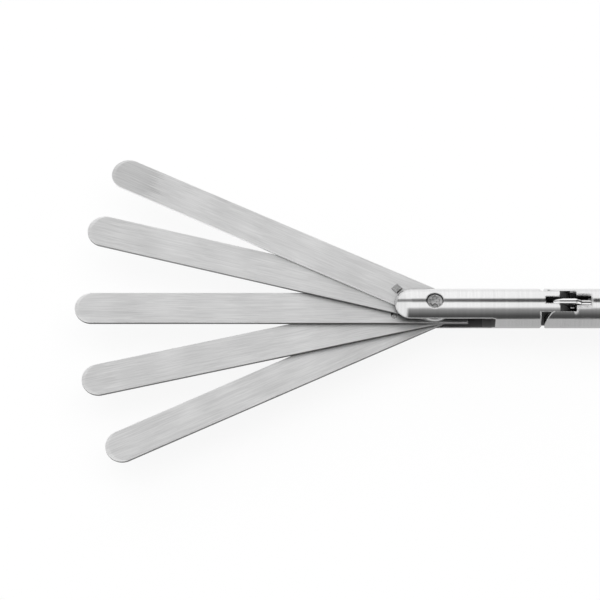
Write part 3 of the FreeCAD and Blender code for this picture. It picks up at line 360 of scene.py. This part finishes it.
@dataclass(frozen=True)
class Finish:
    """How one material of the instrument looks.

    Attributes:
        colour: the base colour.
        roughness: the middle of the roughness.
        metallic: 1 for metals.
        grain: which way the tool marks run.
        pitch: tool marks in a metre, across them and along them.
        depth: how deep the marks are, in metres.
        contrast: how far the marks change the tone.
        edge: the radius of the broken edges, in metres.
        filed: where on X the edges are wider or narrower, from start to stop, and by how much.
        wander: how far the marks stray.
        crease_shade: how much darker painted shade makes the creases.
        reach: how far out of the narrow places that painted shade goes, in metres.
        sides: the painted light on the piece's upright sides beside its faces: below 1 painted shade, above 1
            a painted highlight.
        bore: the distance from the shaft's axis below which a surface is left as it was milled, rougher and
            less metallic, and dark with painted shade.
        bore_spans: where on X such surfaces start and end, and how strongly they are milled and shaded.
        rough_and_shaded_end: from where on X all of the piece is left so.
        sunk: between which heights Z a surface in a hole is milled and dark with painted shade.
    """

    colour: tuple[float, float, float]
    roughness: float
    metallic: float = 1.0
    grain: Grain = Grain.EVEN
    pitch: tuple[float, float] = (3000.0, 60.0)
    depth: float = 0.0008 * MM
    contrast: float = 0.12
    edge: float = 0.08 * MM
    filed: tuple[tuple[float, float, float], ...] = ()
    wander: float = 0.3
    crease_shade: float = 0.6
    reach: float = 0.4 * MM
    sides: float = 1.0
    bore: float = 0.0
    bore_spans: tuple[tuple[float, float, float], ...] = ()
    rough_and_shaded_end: float = 1.0
    sunk: tuple[float, float] | None = None

    def scale(self) -> tuple[float, float, float]:
        """Works out the marks' pitch on each axis of the pattern.

        Returns:
            The marks in a metre on X, Y and Z.
        """
        across, along = self.pitch
        if self.grain is Grain.ALONG:
            return (along, across, across)
        if self.grain is Grain.EVEN:
            return (across, across, across)
        return (across, along, along)

    def radius(self, wiring: Wiring) -> Any:
        """Gives the radius of the broken edges.

        Args:
            wiring: the material's tree.

        Returns:
            The radius, or its socket where it changes along X.
        """
        if not self.filed:
            return self.edge
        along = wiring.place()["X"]
        radius = self.edge
        for start, stop, wider in self.filed:
            within = wiring.between(along, start, stop, FILED_FADE)
            radius = wiring.math("ADD", radius, wiring.math("MULTIPLY", within, wider))
        return radius

    def milled_and_shaded(self, wiring: Wiring) -> bpy.types.NodeSocket:
        """Gives the mask of the surfaces inside the piece, which aren't polished and get painted shade.

        Args:
            wiring: the material's tree.

        Returns:
            The mask's socket, 1 inside.
        """
        bore_fade, sunk_share = 0.1 * MM, 0.42
        parts = wiring.place()
        across = wiring.add("CombineXYZ", {"Y": parts["Y"], "Z": parts["Z"]}).outputs[0]
        reach = wiring.vector("LENGTH", across).outputs["Value"]
        deep = wiring.spread(reach, self.bore, self.bore - bore_fade)
        found = wiring.spread(parts["X"], self.rough_and_shaded_end - MILLED_FADE, self.rough_and_shaded_end + MILLED_FADE)
        for start, stop, share in self.bore_spans:
            within = wiring.between(parts["X"], start, stop, MILLED_FADE, share)
            found = wiring.math("MAXIMUM", found, wiring.math("MULTIPLY", deep, within))
        if self.sunk:
            within = wiring.between(parts["Z"], *self.sunk, MILLED_FADE)
            found = wiring.math("MAXIMUM", found, wiring.math("MULTIPLY", within, sunk_share))
        return found

    def painted_tip_shade(self, wiring: Wiring, vector: bpy.types.NodeSocket, marks: bpy.types.Node,
               patch: tuple[float, float]) -> bpy.types.NodeSocket:
        """Gives how much painted shade darkens the far part of a blade, where a slightly bent blade mirrors
        darker, with a ragged border.

        Args:
            wiring: the material's tree.
            vector: the coordinates with X along the blade.
            marks: the node of the tool marks.
            patch: where along the piece the patch ends, and how much darker it is.

        Returns:
            The socket of what the level loses, 0 outside the patch.
        """
        raggedness, fade = 0.02, 1.5 * MM
        along = wiring.add("SeparateXYZ", {"Vector": vector}).outputs["X"]
        stray = wiring.math("MULTIPLY", wiring.math("SUBTRACT", marks.outputs["Tone"], 0.5), raggedness)
        place = wiring.math("ADD", along, stray)
        return wiring.spread(place, patch[0] + fade, patch[0] - fade, 0.0, patch[1])

    def shaded(self, wiring: Wiring, groups: dict[str, bpy.types.NodeTree],
               level: bpy.types.NodeSocket) -> bpy.types.NodeSocket:
        """Paints shade into the level in the creases, and painted shade or a painted highlight on the upright
        sides.

        Args:
            wiring: the material's tree.
            groups: the shared node groups.
            level: how bright the surface is beside its base colour, without them.

        Returns:
            The level's socket.
        """
        # Painted shade darkens the narrow places between surfaces.
        creases = wiring.add("Group", {"Reach": self.reach}, node_tree=groups["creases"])
        darker = wiring.math("MULTIPLY", creases.outputs["Crease"], self.crease_shade)
        level = wiring.math("MULTIPLY", level, wiring.math("SUBTRACT", 1.0, darker))
        # Paints the upright sides darker (painted shade) or lighter (painted highlight) than the faces.
        if self.sides != 1.0:
            flat, upright, brightest = 0.9, 0.6, 1.15
            normal = wiring.add("NewGeometry").outputs["Normal"]
            slope = wiring.math("ABSOLUTE", wiring.add("SeparateXYZ", {"Vector": normal}).outputs["Z"])
            beside = wiring.spread(slope, flat, upright, 1.0, self.sides)
            level = wiring.math("MINIMUM", wiring.math("MULTIPLY", level, beside), brightest)
        return level

    def material(self, name: str, groups: dict[str, bpy.types.NodeTree], turn: float = 0.0,
                 centre: tuple[float, float, float] = (0.0, 0.0, 0.0),
                 patch: tuple[float, float] | None = None) -> bpy.types.Material:
        """Builds the material.

        Args:
            name: its name.
            groups: the shared node groups.
            turn: the angle about Z of the piece that wears it.
            centre: the point that the piece is turned about.
            patch: where along the piece a patch of painted shade ends, and how much darker it is.

        Returns:
            The material.
        """
        tone_to_rough, edge_polish, milled_shade_level, milled_rough = 0.6, 0.3, 0.03, 0.4
        made = bpy.data.materials.new(name)
        made.use_nodes = True
        wiring = Wiring(made.node_tree)
        vector = wiring.turned(turn, centre)
        marks = wiring.add("Group", {"Vector": vector, "Pitch": self.scale(), "Wander": self.wander},
                           node_tree=groups["tool_marks"])
        edges = wiring.add("Group", {"Radius": self.radius(wiring)}, node_tree=groups["broken_edges"])
        tone = wiring.math("MULTIPLY", wiring.math("SUBTRACT", marks.outputs["Tone"], 0.5), self.contrast * 2)
        cloud = wiring.math("MULTIPLY", wiring.math("SUBTRACT", marks.outputs["Cloud"], 0.5), self.contrast)
        level = wiring.math("ADD", wiring.math("ADD", tone, cloud), 1.0)
        # A patch of painted shade darkens the far part of some blades.
        if patch:
            level = wiring.math("SUBTRACT", level, self.painted_tip_shade(wiring, vector, marks, patch))
        level = self.shaded(wiring, groups, level)
        rough = wiring.math("ADD", self.roughness, wiring.math("MULTIPLY", tone, tone_to_rough))
        metal = self.metallic
        # Milled surfaces are rougher and less metallic, and painted shade darkens them nearly to black.
        if self.bore_spans or self.sunk:
            milled_and_shaded = self.milled_and_shaded(wiring)
            level = wiring.math("MULTIPLY", level, wiring.spread(milled_and_shaded, 0.0, 1.0, 1.0, milled_shade_level))
            rough = wiring.math("ADD", rough, wiring.math("MULTIPLY", milled_and_shaded, milled_rough))
            metal = wiring.math("SUBTRACT", self.metallic, milled_and_shaded)
        polish = wiring.math("MULTIPLY", edges.outputs["Edge"], self.roughness * edge_polish)
        rough = wiring.math("SUBTRACT", rough, polish)
        colour = wiring.add("VectorMath", {0: self.colour, "Scale": level}, operation="SCALE")
        bump = wiring.add("Bump", {"Strength": 1.0, "Distance": self.depth, "Height": marks.outputs["Height"],
                                   "Normal": edges.outputs["Normal"]})
        shader = wiring.add("BsdfPrincipled", {"Base Color": colour.outputs[0], "Roughness": rough,
                                               "Metallic": metal, "Normal": bump.outputs[0]})
        wiring.add("OutputMaterial", {"Surface": shader.outputs[0]})
        return made


FINISHES = {
    # blade_steel: painted shade on the upright sides, and painted shade reaching far from the narrow places,
    # such as under the head's nose.
    "blade_steel": Finish((0.87, 0.87, 0.87), 0.50, grain=Grain.ALONG, pitch=(4200.0, 150.0),
                          depth=0.002 * MM, contrast=0.30, wander=1.0, crease_shade=0.92, reach=4.5 * MM,
                          sides=0.36),
    # head_steel: the slot and the tongue inside the head are milled and get painted shade.
    "head_steel": Finish((0.76, 0.76, 0.76), 0.14, grain=Grain.ROUND, pitch=(3000.0, 40.0),
                         depth=0.001 * MM, contrast=0.16, edge=0.4 * MM,
                         bore=4.8 * MM, rough_and_shaded_end=-13.2 * MM,
                         bore_spans=((-42.3 * MM, -32.4 * MM, 0.80), (-32.4 * MM, -29.35 * MM, 0.68),
                                     (-28.2 * MM, -13.0 * MM, 1.0))),
    "tube_steel": Finish((0.76, 0.76, 0.76), 0.15, grain=Grain.ROUND, pitch=(3200.0, 40.0),
                         depth=0.0007 * MM, contrast=0.10),
    "link_steel": Finish((0.90, 0.90, 0.90), 0.12, grain=Grain.ALONG, contrast=0.06, crease_shade=0.3),
    "pin_steel": Finish((0.60, 0.60, 0.60), 0.32, pitch=(1500.0, 1500.0), depth=0.010 * MM,
                        contrast=0.45, crease_shade=0.9, reach=0.9 * MM, edge=0.14 * MM),
    # cable_steel: near-black, painted shade for the pieces inside the shaft.
    "cable_steel": Finish((0.04, 0.04, 0.042), 0.42, grain=Grain.ALONG, contrast=0.2),
    "rod_steel": Finish((0.60, 0.60, 0.61), 0.24, grain=Grain.ROUND, contrast=0.08),
    "washer_bronze": Finish((0.60, 0.44, 0.24), 0.30, contrast=0.12),
    "guide_plastic": Finish((0.82, 0.81, 0.77), 0.42, metallic=0.0, pitch=(900.0, 900.0),
                            depth=0.004 * MM, contrast=0.04),
    "handle_steel": Finish((0.64, 0.64, 0.65), 0.25, grain=Grain.ROUND, pitch=(2600.0, 40.0),
                           depth=0.0012 * MM, contrast=0.14, edge=0.15 * MM, crease_shade=0.85,
                           reach=1.6 * MM),
    "nut_brass": Finish((0.76, 0.58, 0.30), 0.26, grain=Grain.ROUND, contrast=0.08),
    "seal_rubber": Finish((0.035, 0.035, 0.035), 0.6, metallic=0.0, pitch=(1500.0, 1500.0),
                          depth=0.004 * MM, contrast=0.2),
}

# Near-black steel that paints the shade inside the shaft onto the pieces there.
INSIDE_SHADE = FINISHES["cable_steel"]
# FORK: the fork's bore is milled and gets painted shade.
FORK = replace(FINISHES["head_steel"], bore=4.35 * MM, rough_and_shaded_end=1.0,
               bore_spans=((-30.0 * MM, 0.5 * MM, 1.0),),
               filed=((-14.6 * MM, -9.6 * MM, -0.34 * MM), (-9.6 * MM, -4.6 * MM, 0.8 * MM)))
FLUSH_PIN = replace(FINISHES["head_steel"], bore_spans=(), rough_and_shaded_end=1.0, edge=0.01 * MM, crease_shade=0.0)
# PIVOT: the walls of the screw's recess are milled and get painted shade, and so do the narrow places.
PIVOT = replace(FINISHES["pin_steel"], sunk=(2.0 * MM, 3.8 * MM), contrast=0.9, crease_shade=0.6,
                edge=0.12 * MM)
# The drag pins get painted shade on their upright sides and in the narrow places round them.
DRAG_PIN = Finish((0.80, 0.80, 0.80), 0.20, pitch=(1500.0, 1500.0), contrast=0.3, crease_shade=0.9,
                  edge=0.05 * MM, sides=0.2)
NODE_FINISHES = {
    # The pieces inside the shaft wear the near-black steel of painted shade.
    "drive_yoke": INSIDE_SHADE,
    "yoke_pin": INSIDE_SHADE,
    "front_spread_link": INSIDE_SHADE,
    "back_spread_link": INSIDE_SHADE,
    "shaft_fork": FORK,
    "hinge_pins": FLUSH_PIN,
    "pivot_screw": PIVOT,
    # blade_1's upright side gets a painted highlight.
    "blade_1": replace(FINISHES["blade_steel"], sides=4.0, edge=0.12 * MM),
    "blade_1_drag_pin": DRAG_PIN,
    "blade_2_drag_pin": DRAG_PIN,
    "blade_4_drag_pin": DRAG_PIN,
    "blade_5_drag_pin": DRAG_PIN,
    "blade_1_drive_pin": FINISHES["blade_steel"],
    "blade_5_drive_pin": FINISHES["blade_steel"],
}

# The blades' pivot, their angles about Z in degrees, and the patches of painted shade on some of them
BLADE_PIVOT = (-44.6 * MM, 0.0, 0.0)
BLADE_TURNS = {"blade_1": -25.7, "blade_2": -14.4, "blade_3": 0.0, "blade_4": 13.1, "blade_5": 25.7}
BLADE_TIP_SHADES = {"blade_1": (-79.5 * MM, 0.14), "blade_2": (-83.0 * MM, 0.05), "blade_4": (-83.0 * MM, 0.05)}


def ring_faces(rings: int, sides: int, first: int = 0) -> list[tuple[int, ...]]:
    """Joins the rings of a closed tube, whose points go round it ring by ring, and closes its ends.

    Args:
        rings: how many rings there are.
        sides: how many points a ring has.
        first: the number of the first point.

    Returns:
        The faces, which look outwards where the points turn from Y to Z round a tube along X.
    """
    at = first + np.arange(rings * sides).reshape(rings, sides)
    after = np.roll(at, -1, axis=1)
    walls = np.stack([at[:-1], after[:-1], after[1:], at[1:]], axis=-1).reshape(-1, 4)
    return [*map(tuple, walls.tolist()), tuple(at[0, ::-1].tolist()), tuple(at[-1].tolist())]


def make_piece(name: str, points: np.ndarray, faces: list[tuple[int, ...]]) -> bpy.types.Object:
    """Makes a smooth mesh object at the origin.

    Args:
        name: its name.
        points: its points in metres, with X, Y and Z on the last axis.
        faces: the numbers of each face's points.

    Returns:
        The object.
    """
    mesh = bpy.data.meshes.new(name)
    mesh.from_pydata(points.reshape(-1, 3).tolist(), [], faces)
    mesh.update()
    mesh.polygons.foreach_set("use_smooth", np.ones(len(faces), dtype=bool))
    piece = bpy.data.objects.new(name, mesh)
    bpy.context.scene.collection.objects.link(piece)
    LOG.info("made %s with %d faces", name, len(faces))
    return piece


@dataclass(frozen=True)
class StrandedCable:
    """The drive cable, laid up from round strands about a straight core.

    Attributes:
        start: where it starts on X, inside the yoke.
        end: where it ends on X, inside the drive rod.
        radius: of the whole cable.
        lay: the length in which a strand goes round once.
        steps: rings of points in one lay.
        strands: how many strands go round the core.
        sides: points round a strand.
        bend: where on X a bend at the hinge would start and end; not used.
    """

    start: float = -26.6 * MM
    end: float = 4.23 * MM
    radius: float = 0.8 * MM
    lay: float = 6.0 * MM
    steps: int = 18
    strands: int = 6
    sides: int = 10
    bend: tuple[float, float] = (-8.5 * MM, -15.5 * MM)

    def points(self) -> np.ndarray:
        """Works out the points by strand, ring and side.

        The centre of strand k stands at the angle a = 2 pi x / lay + 2 pi k / strands about X, at
        two thirds of the cable's radius, so three strands fit side by side across it. The last
        strand is the core, at no distance. Each ring stands square to its strand's helix.

        Returns:
            The points in metres.
        """
        wire = self.radius / 3
        along = np.arange(self.start, self.end, self.lay / self.steps)
        rate = math.tau / self.lay
        start = np.append(math.tau * np.arange(self.strands) / self.strands, 0.0)
        out = np.append(np.full(self.strands, 2 * wire), 0.0)[:, None]
        angle = rate * along[None, :] + start[:, None]
        none = np.zeros_like(angle)
        radial = np.stack([none, np.cos(angle), np.sin(angle)], axis=-1)
        centre = out[..., None] * radial
        centre[..., 0] = along
        run = np.stack([none + 1.0, -rate * out * np.sin(angle), rate * out * np.cos(angle)], axis=-1)
        run /= np.linalg.norm(run, axis=-1, keepdims=True)
        across = np.cross(run, radial)
        turn = math.tau * np.arange(self.sides) / self.sides
        ring = np.cos(turn)[:, None] * radial[:, :, None] + np.sin(turn)[:, None] * across[:, :, None]
        return centre[:, :, None] + wire * ring

    def build(self, groups: dict[str, bpy.types.NodeTree]) -> None:
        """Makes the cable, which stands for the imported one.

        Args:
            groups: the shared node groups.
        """
        points = self.points()
        strands, rings, sides = points.shape[:3]
        faces = [face for count in range(strands) for face in ring_faces(rings, sides, count * rings * sides)]
        cable = make_piece("stranded_cable", points, faces)
        # The cable's near-black colour is painted shade inside the shaft.
        cable.data.materials.append(INSIDE_SHADE.material("cable_strands", groups))
        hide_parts("drive_cable")
        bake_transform(cable)


@dataclass(frozen=True)
class PolishedLink:
    """The head link with its back rounded over and polished.

    Attributes:
        front: X and Z of the front eye's centre, and its radius.
        beak: how far the eye is drawn out before its centre.
        rear: X and Z of the rear eye's centre, and its radius.
        dip: where on X the back starts to drop to the rear eye, and where it has.
        half_width: half of its width in Y.
        squareness: the power of the section's outline; 2 is an ellipse, more is squarer.
        crown: how much lower its back is at the sides than in the middle.
        first_turn: the angle in degrees from a tip at which the end's first section stands.
        end_sections: sections round an end.
        run_sections: sections from one eye to the other, with both ends.
        sides: points round a section.
    """

    front: tuple[float, float, float] = (-13.3 * MM, 2.9 * MM, 1.5 * MM)
    beak: float = 2.1 * MM
    rear: tuple[float, float, float] = (-3.5 * MM, 2.55 * MM, 1.1 * MM)
    dip: tuple[float, float] = (-9.3 * MM, -7.4 * MM)
    half_width: float = 0.88 * MM
    squareness: float = 5.0
    crown: float = 0.11 * MM
    first_turn: float = 6.0
    end_sections: int = 12
    run_sections: int = 60
    sides: int = 28

    def line(self) -> np.ndarray:
        """Works out X and the heights of the back and the belly by section.

        The back runs at the front eye's top and drops as the smooth step 3 s^2 - 2 s^3 to the rear
        eye's top, the belly runs straight, and each end is the half circle of its eye.

        Returns:
            The sections' X, upper Z and lower Z in metres.
        """
        (front_x, front_z, front_r), (rear_x, rear_z, rear_r) = self.front, self.rear
        turn = np.radians(np.linspace(self.first_turn, 90, self.end_sections))
        head = np.stack([front_x - self.beak * np.cos(turn), front_z + front_r * np.sin(turn),
                         front_z - front_r * np.sin(turn)], axis=-1)
        tail = np.stack([rear_x + rear_r * np.cos(turn), rear_z + rear_r * np.sin(turn),
                         rear_z - rear_r * np.sin(turn)], axis=-1)[::-1]
        along = np.linspace(front_x, rear_x, self.run_sections)[1:-1]
        share = np.clip((along - self.dip[0]) / (self.dip[1] - self.dip[0]), 0, 1)
        drop = share * share * (3 - 2 * share)
        top = (front_z + front_r) * (1 - drop) + (rear_z + rear_r) * drop
        low = np.interp(along, [front_x, rear_x], [front_z - front_r, rear_z - rear_r])
        return np.concatenate([head, np.stack([along, top, low], axis=-1), tail])

    def points(self) -> np.ndarray:
        """Works out the points by section and side.

        A section at x is the outline |y / w|^n + |z / h|^n = 1, where w is half of the link's width,
        h is half of its height at x and n is its squareness. The upper half then drops by the crown
        times (y / w)^2, so the back is slightly round.

        Returns:
            The points in metres.
        """
        line = self.line()
        side = math.tau * np.arange(self.sides) / self.sides
        wide = np.sign(np.cos(side)) * np.abs(np.cos(side)) ** (2 / self.squareness)
        high = np.sign(np.sin(side)) * np.abs(np.sin(side)) ** (2 / self.squareness)
        middle, half = (line[:, 1] + line[:, 2]) / 2, (line[:, 1] - line[:, 2]) / 2
        drop = self.crown * wide ** 2 * (high > 0)
        shape = (len(line), self.sides)
        return np.stack([np.broadcast_to(line[:, :1], shape),
                         np.broadcast_to(self.half_width * wide, shape),
                         middle[:, None] + half[:, None] * high - drop], axis=-1)

    def build(self, groups: dict[str, bpy.types.NodeTree]) -> None:
        """Makes the link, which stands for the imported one.

        Args:
            groups: the shared node groups.
        """
        points = self.points()
        link = make_piece("polished_link", points, ring_faces(*points.shape[:2]))
        link.data.materials.append(FINISHES["link_steel"].material("polished_link", groups))
        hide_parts("head_link")
        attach(link, "bend_slider")


@dataclass(frozen=True)
class Studio:
    """The camera, the floor, the backdrop light and the lamp.

    Attributes:
        target: what the camera looks at.
        distance: from the target to the camera.
        lens: the focal length in millimetres, for a sensor 36 mm wide.
        floor: the floor's height.
        floor_half: half of the floor's side.
        cloth: how bright the floor's own cloth is.
        glow: how much of the light that the camera sees from the floor is the floor's own.
        mirrored: how bright the steel mirrors the floor before the shaft and behind it.
        mirror_step: how far before and behind the shaft that changes.
        nose: where on X the ball nose mirrors the strip on the floor from.
        strip_fade: where on X the strip starts on the floor, and where it is whole.
        lamp_size: the lamp's sides.
        lamp_place: where it hangs.
        lamp_power: in watts.
        bands: degrees about X from straight up, towards +Y, and the light from there.
        panels: half of a direction's rise plus a half, and the light past the handle there.
    """

    target: tuple[float, float, float] = (-78.55 * MM, 1.91 * MM, 0.97 * MM)
    distance: float = 883.9 * MM
    lens: float = 210.06
    floor: float = -14.5 * MM
    floor_half: float = 4.0
    cloth: float = 0.9
    glow: float = 0.84
    mirrored: tuple[float, float] = (0.54, 1.0)
    mirror_step: float = 2.0 * MM
    nose: float = -49.7 * MM
    strip_fade: tuple[float, float] = (-50.0 * MM, -53.0 * MM)
    lamp_size: tuple[float, float] = (1.6, 1.2)
    lamp_place: tuple[float, float, float] = (-0.1, 0.1, 1.2)
    lamp_power: float = 9.0
    bands: tuple[tuple[float, float], ...] = (
        (-180, 0.62), (-92, 0.60), (-89, 0.08), (-70, 0.08), (-60, 0.13), (-48, 0.22), (-36, 0.30),
        (-31, 0.38), (-27, 0.50), (-21, 1.02), (-18, 1.10), (40, 1.12), (90, 1.12), (92, 1.0),
        (180, 0.62))
    panels: tuple[tuple[float, float], ...] = (
        (0.0, 0.5), (0.5, 0.42), (0.52, 0.12), (0.6, 0.2), (0.64, 0.95), (0.8, 1.1), (0.84, 0.35),
        (1.0, 0.55))

    def place_camera(self) -> None:
        """Puts the camera at the photograph's angle."""
        data = bpy.data.cameras.new("view")
        data.lens, data.sensor_width = self.lens, 36.0
        data.clip_start, data.clip_end = 0.01, 20.0
        camera = bpy.data.objects.new("view", data)
        rise = math.radians(ELEVATION)
        back = (0.0, -math.cos(rise), math.sin(rise))
        camera.location = [t + self.distance * b for t, b in zip(self.target, back)]
        camera.rotation_euler = (math.pi / 2 - rise, 0.0, 0.0)
        bpy.context.scene.collection.objects.link(camera)
        bpy.context.scene.camera = camera

    def light_world(self, strip_group: bpy.types.NodeTree) -> None:
        """Makes the surroundings: white to the eye, and bands of light and shade to the steel.

        The bands follow the angle about X that a direction makes with the vertical, so they run
        the whole length of the shaft, as long softboxes beside it do. Past the fan it is white, and
        past the handle a bright panel stands between two dark ones.

        Args:
            strip_group: the group of the dark strip.
        """
        past_fan, horizon, past_handle = (-0.20, -0.56), (-0.02, 0.0), (0.34, 0.5)
        world = bpy.data.worlds.new("studio")
        bpy.context.scene.world = world
        world.use_nodes = True
        wiring = Wiring(world.node_tree)
        place = wiring.add("TexCoord").outputs["Generated"]
        parts = wiring.add("SeparateXYZ", {"Vector": place}).outputs
        angle = wiring.math("ARCTAN2", parts["Y"], parts["Z"])
        share = wiring.math("ADD", wiring.math("DIVIDE", angle, math.tau), 0.5)
        side = wiring.ramp(share, [((degrees + 180) / 360, level) for degrees, level in self.bands])
        white = wiring.math("MULTIPLY", wiring.spread(parts["X"], *past_fan),
                            wiring.spread(parts["Z"], *horizon))
        side = wiring.mix(white, side, WHITE)
        rise = wiring.math("ADD", wiring.math("MULTIPLY", parts["Z"], 0.5), 0.5)
        side = wiring.mix(wiring.spread(parts["X"], *past_handle), side, wiring.ramp(rise, list(self.panels)))
        strip = wiring.add("Group", {"Direction": place}, node_tree=strip_group)
        shown = wiring.mix(strip.outputs["Strip"], side, BLACK)
        path = wiring.add("LightPath")
        light = wiring.add("Background", {"Color": wiring.mix(path.outputs["Is Camera Ray"], shown, WHITE),
                                          "Strength": 1.0})
        wiring.add("OutputWorld", {"Surface": light.outputs[0]})

    def dress_floor(self, strip_group: bpy.types.NodeTree) -> bpy.types.Material:
        """Makes the floor's material, which keeps the shadow on it faint.

        Args:
            strip_group: the group of the dark strip, which runs on below the horizon.

        Returns:
            The material.
        """
        made = bpy.data.materials.new("floor")
        made.use_nodes = True
        wiring = Wiring(made.node_tree)
        object_place = wiring.add("TexCoord").outputs["Object"]
        parts = wiring.add("SeparateXYZ", {"Vector": object_place}).outputs
        level = wiring.spread(parts["Y"], -self.mirror_step, self.mirror_step, *self.mirrored)
        away = wiring.vector("SUBTRACT", object_place, (self.nose, 0.0, -self.floor)).outputs[0]
        direction = wiring.vector("NORMALIZE", away).outputs[0]
        strip = wiring.add("Group", {"Direction": direction}, node_tree=strip_group)
        ahead = wiring.spread(parts["X"], *self.strip_fade)
        darker = wiring.math("MULTIPLY", strip.outputs["Strip"], ahead)
        level = wiring.math("MULTIPLY", level, wiring.math("SUBTRACT", 1.0, darker))
        cloth = wiring.add("BsdfDiffuse", {"Color": (self.cloth, self.cloth, self.cloth, 1.0)}).outputs[0]
        glow = wiring.add("Emission", {"Color": WHITE, "Strength": 1.0}).outputs[0]
        sheen = wiring.add("Emission", {"Color": WHITE, "Strength": level}).outputs[0]
        path = wiring.add("LightPath").outputs
        seen = wiring.add("MixShader", {0: self.glow, 1: cloth, 2: glow}).outputs[0]
        glossy = wiring.add("MixShader", {0: path["Is Glossy Ray"], 1: cloth, 2: sheen}).outputs[0]
        either = wiring.add("MixShader", {0: path["Is Camera Ray"], 1: glossy, 2: seen}).outputs[0]
        wiring.add("OutputMaterial", {"Surface": either})
        return made

    def lay_floor(self, strip_group: bpy.types.NodeTree) -> None:
        """Lays the pale floor.

        Args:
            strip_group: the group of the dark strip.
        """
        mesh = bpy.data.meshes.new("floor")
        half = self.floor_half
        corners = [(-half, -half), (half, -half), (half, half), (-half, half)]
        mesh.from_pydata([(x, y, self.floor) for x, y in corners], [], [(0, 1, 2, 3)])
        floor = bpy.data.objects.new("floor", mesh)
        bpy.context.scene.collection.objects.link(floor)
        mesh.materials.append(self.dress_floor(strip_group))

    def hang_lamp(self) -> None:
        """Hangs one wide soft lamp over the instrument; the steel doesn't mirror it."""
        data = bpy.data.lights.new("softbox", "AREA")
        data.shape, data.energy = "RECTANGLE", self.lamp_power
        data.size, data.size_y = self.lamp_size
        lamp = bpy.data.objects.new("softbox", data)
        lamp.location = self.lamp_place
        lamp.visible_glossy = False
        bpy.context.scene.collection.objects.link(lamp)

    def build(self) -> None:
        """Sets up the whole studio."""
        strip_group = make_strip_group()
        self.place_camera()
        self.light_world(strip_group)
        self.lay_floor(strip_group)
        self.hang_lamp()
        bpy.context.scene.view_settings.view_transform = "Standard"


def dress_nodes(frame: dict[str, Any], groups: dict[str, bpy.types.NodeTree]) -> None:
    """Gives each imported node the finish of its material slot, or its own.

    Args:
        groups: the shared node groups.
    """
    slots = {part["node"]: part["material_slot"] for part in frame["record"]["subparts"]}
    shared = {name: finish.material(name, groups) for name, finish in FINISHES.items()}
    for node, piece in frame["nodes"].items():
        slot = slots[node]
        finish = NODE_FINISHES.get(node, FINISHES[slot])
        if node in BLADE_TURNS:
            turn = math.radians(BLADE_TURNS[node])
            made = finish.material(f"{slot}_{node[-1]}", groups, turn, BLADE_PIVOT, BLADE_TIP_SHADES.get(node))
        elif node in NODE_FINISHES:
            made = finish.material(f"{slot}_{node}", groups)
        else:
            made = shared[slot]
        piece.data.materials.clear()
        piece.data.materials.append(made)
        LOG.info("dressed %s in %s", node, made.name)


def main() -> None:
    """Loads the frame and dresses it."""
    logging.basicConfig(level=logging.INFO, format="%(message)s")
    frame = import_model()
    Studio().build()
    groups = {"tool_marks": make_grain_group(), "broken_edges": make_edge_group(),
              "creases": make_crease_shade_group()}
    dress_nodes(frame, groups)
    StrandedCable().build(groups)
    PolishedLink().build(groups)


if __name__ == "__main__":
    main()
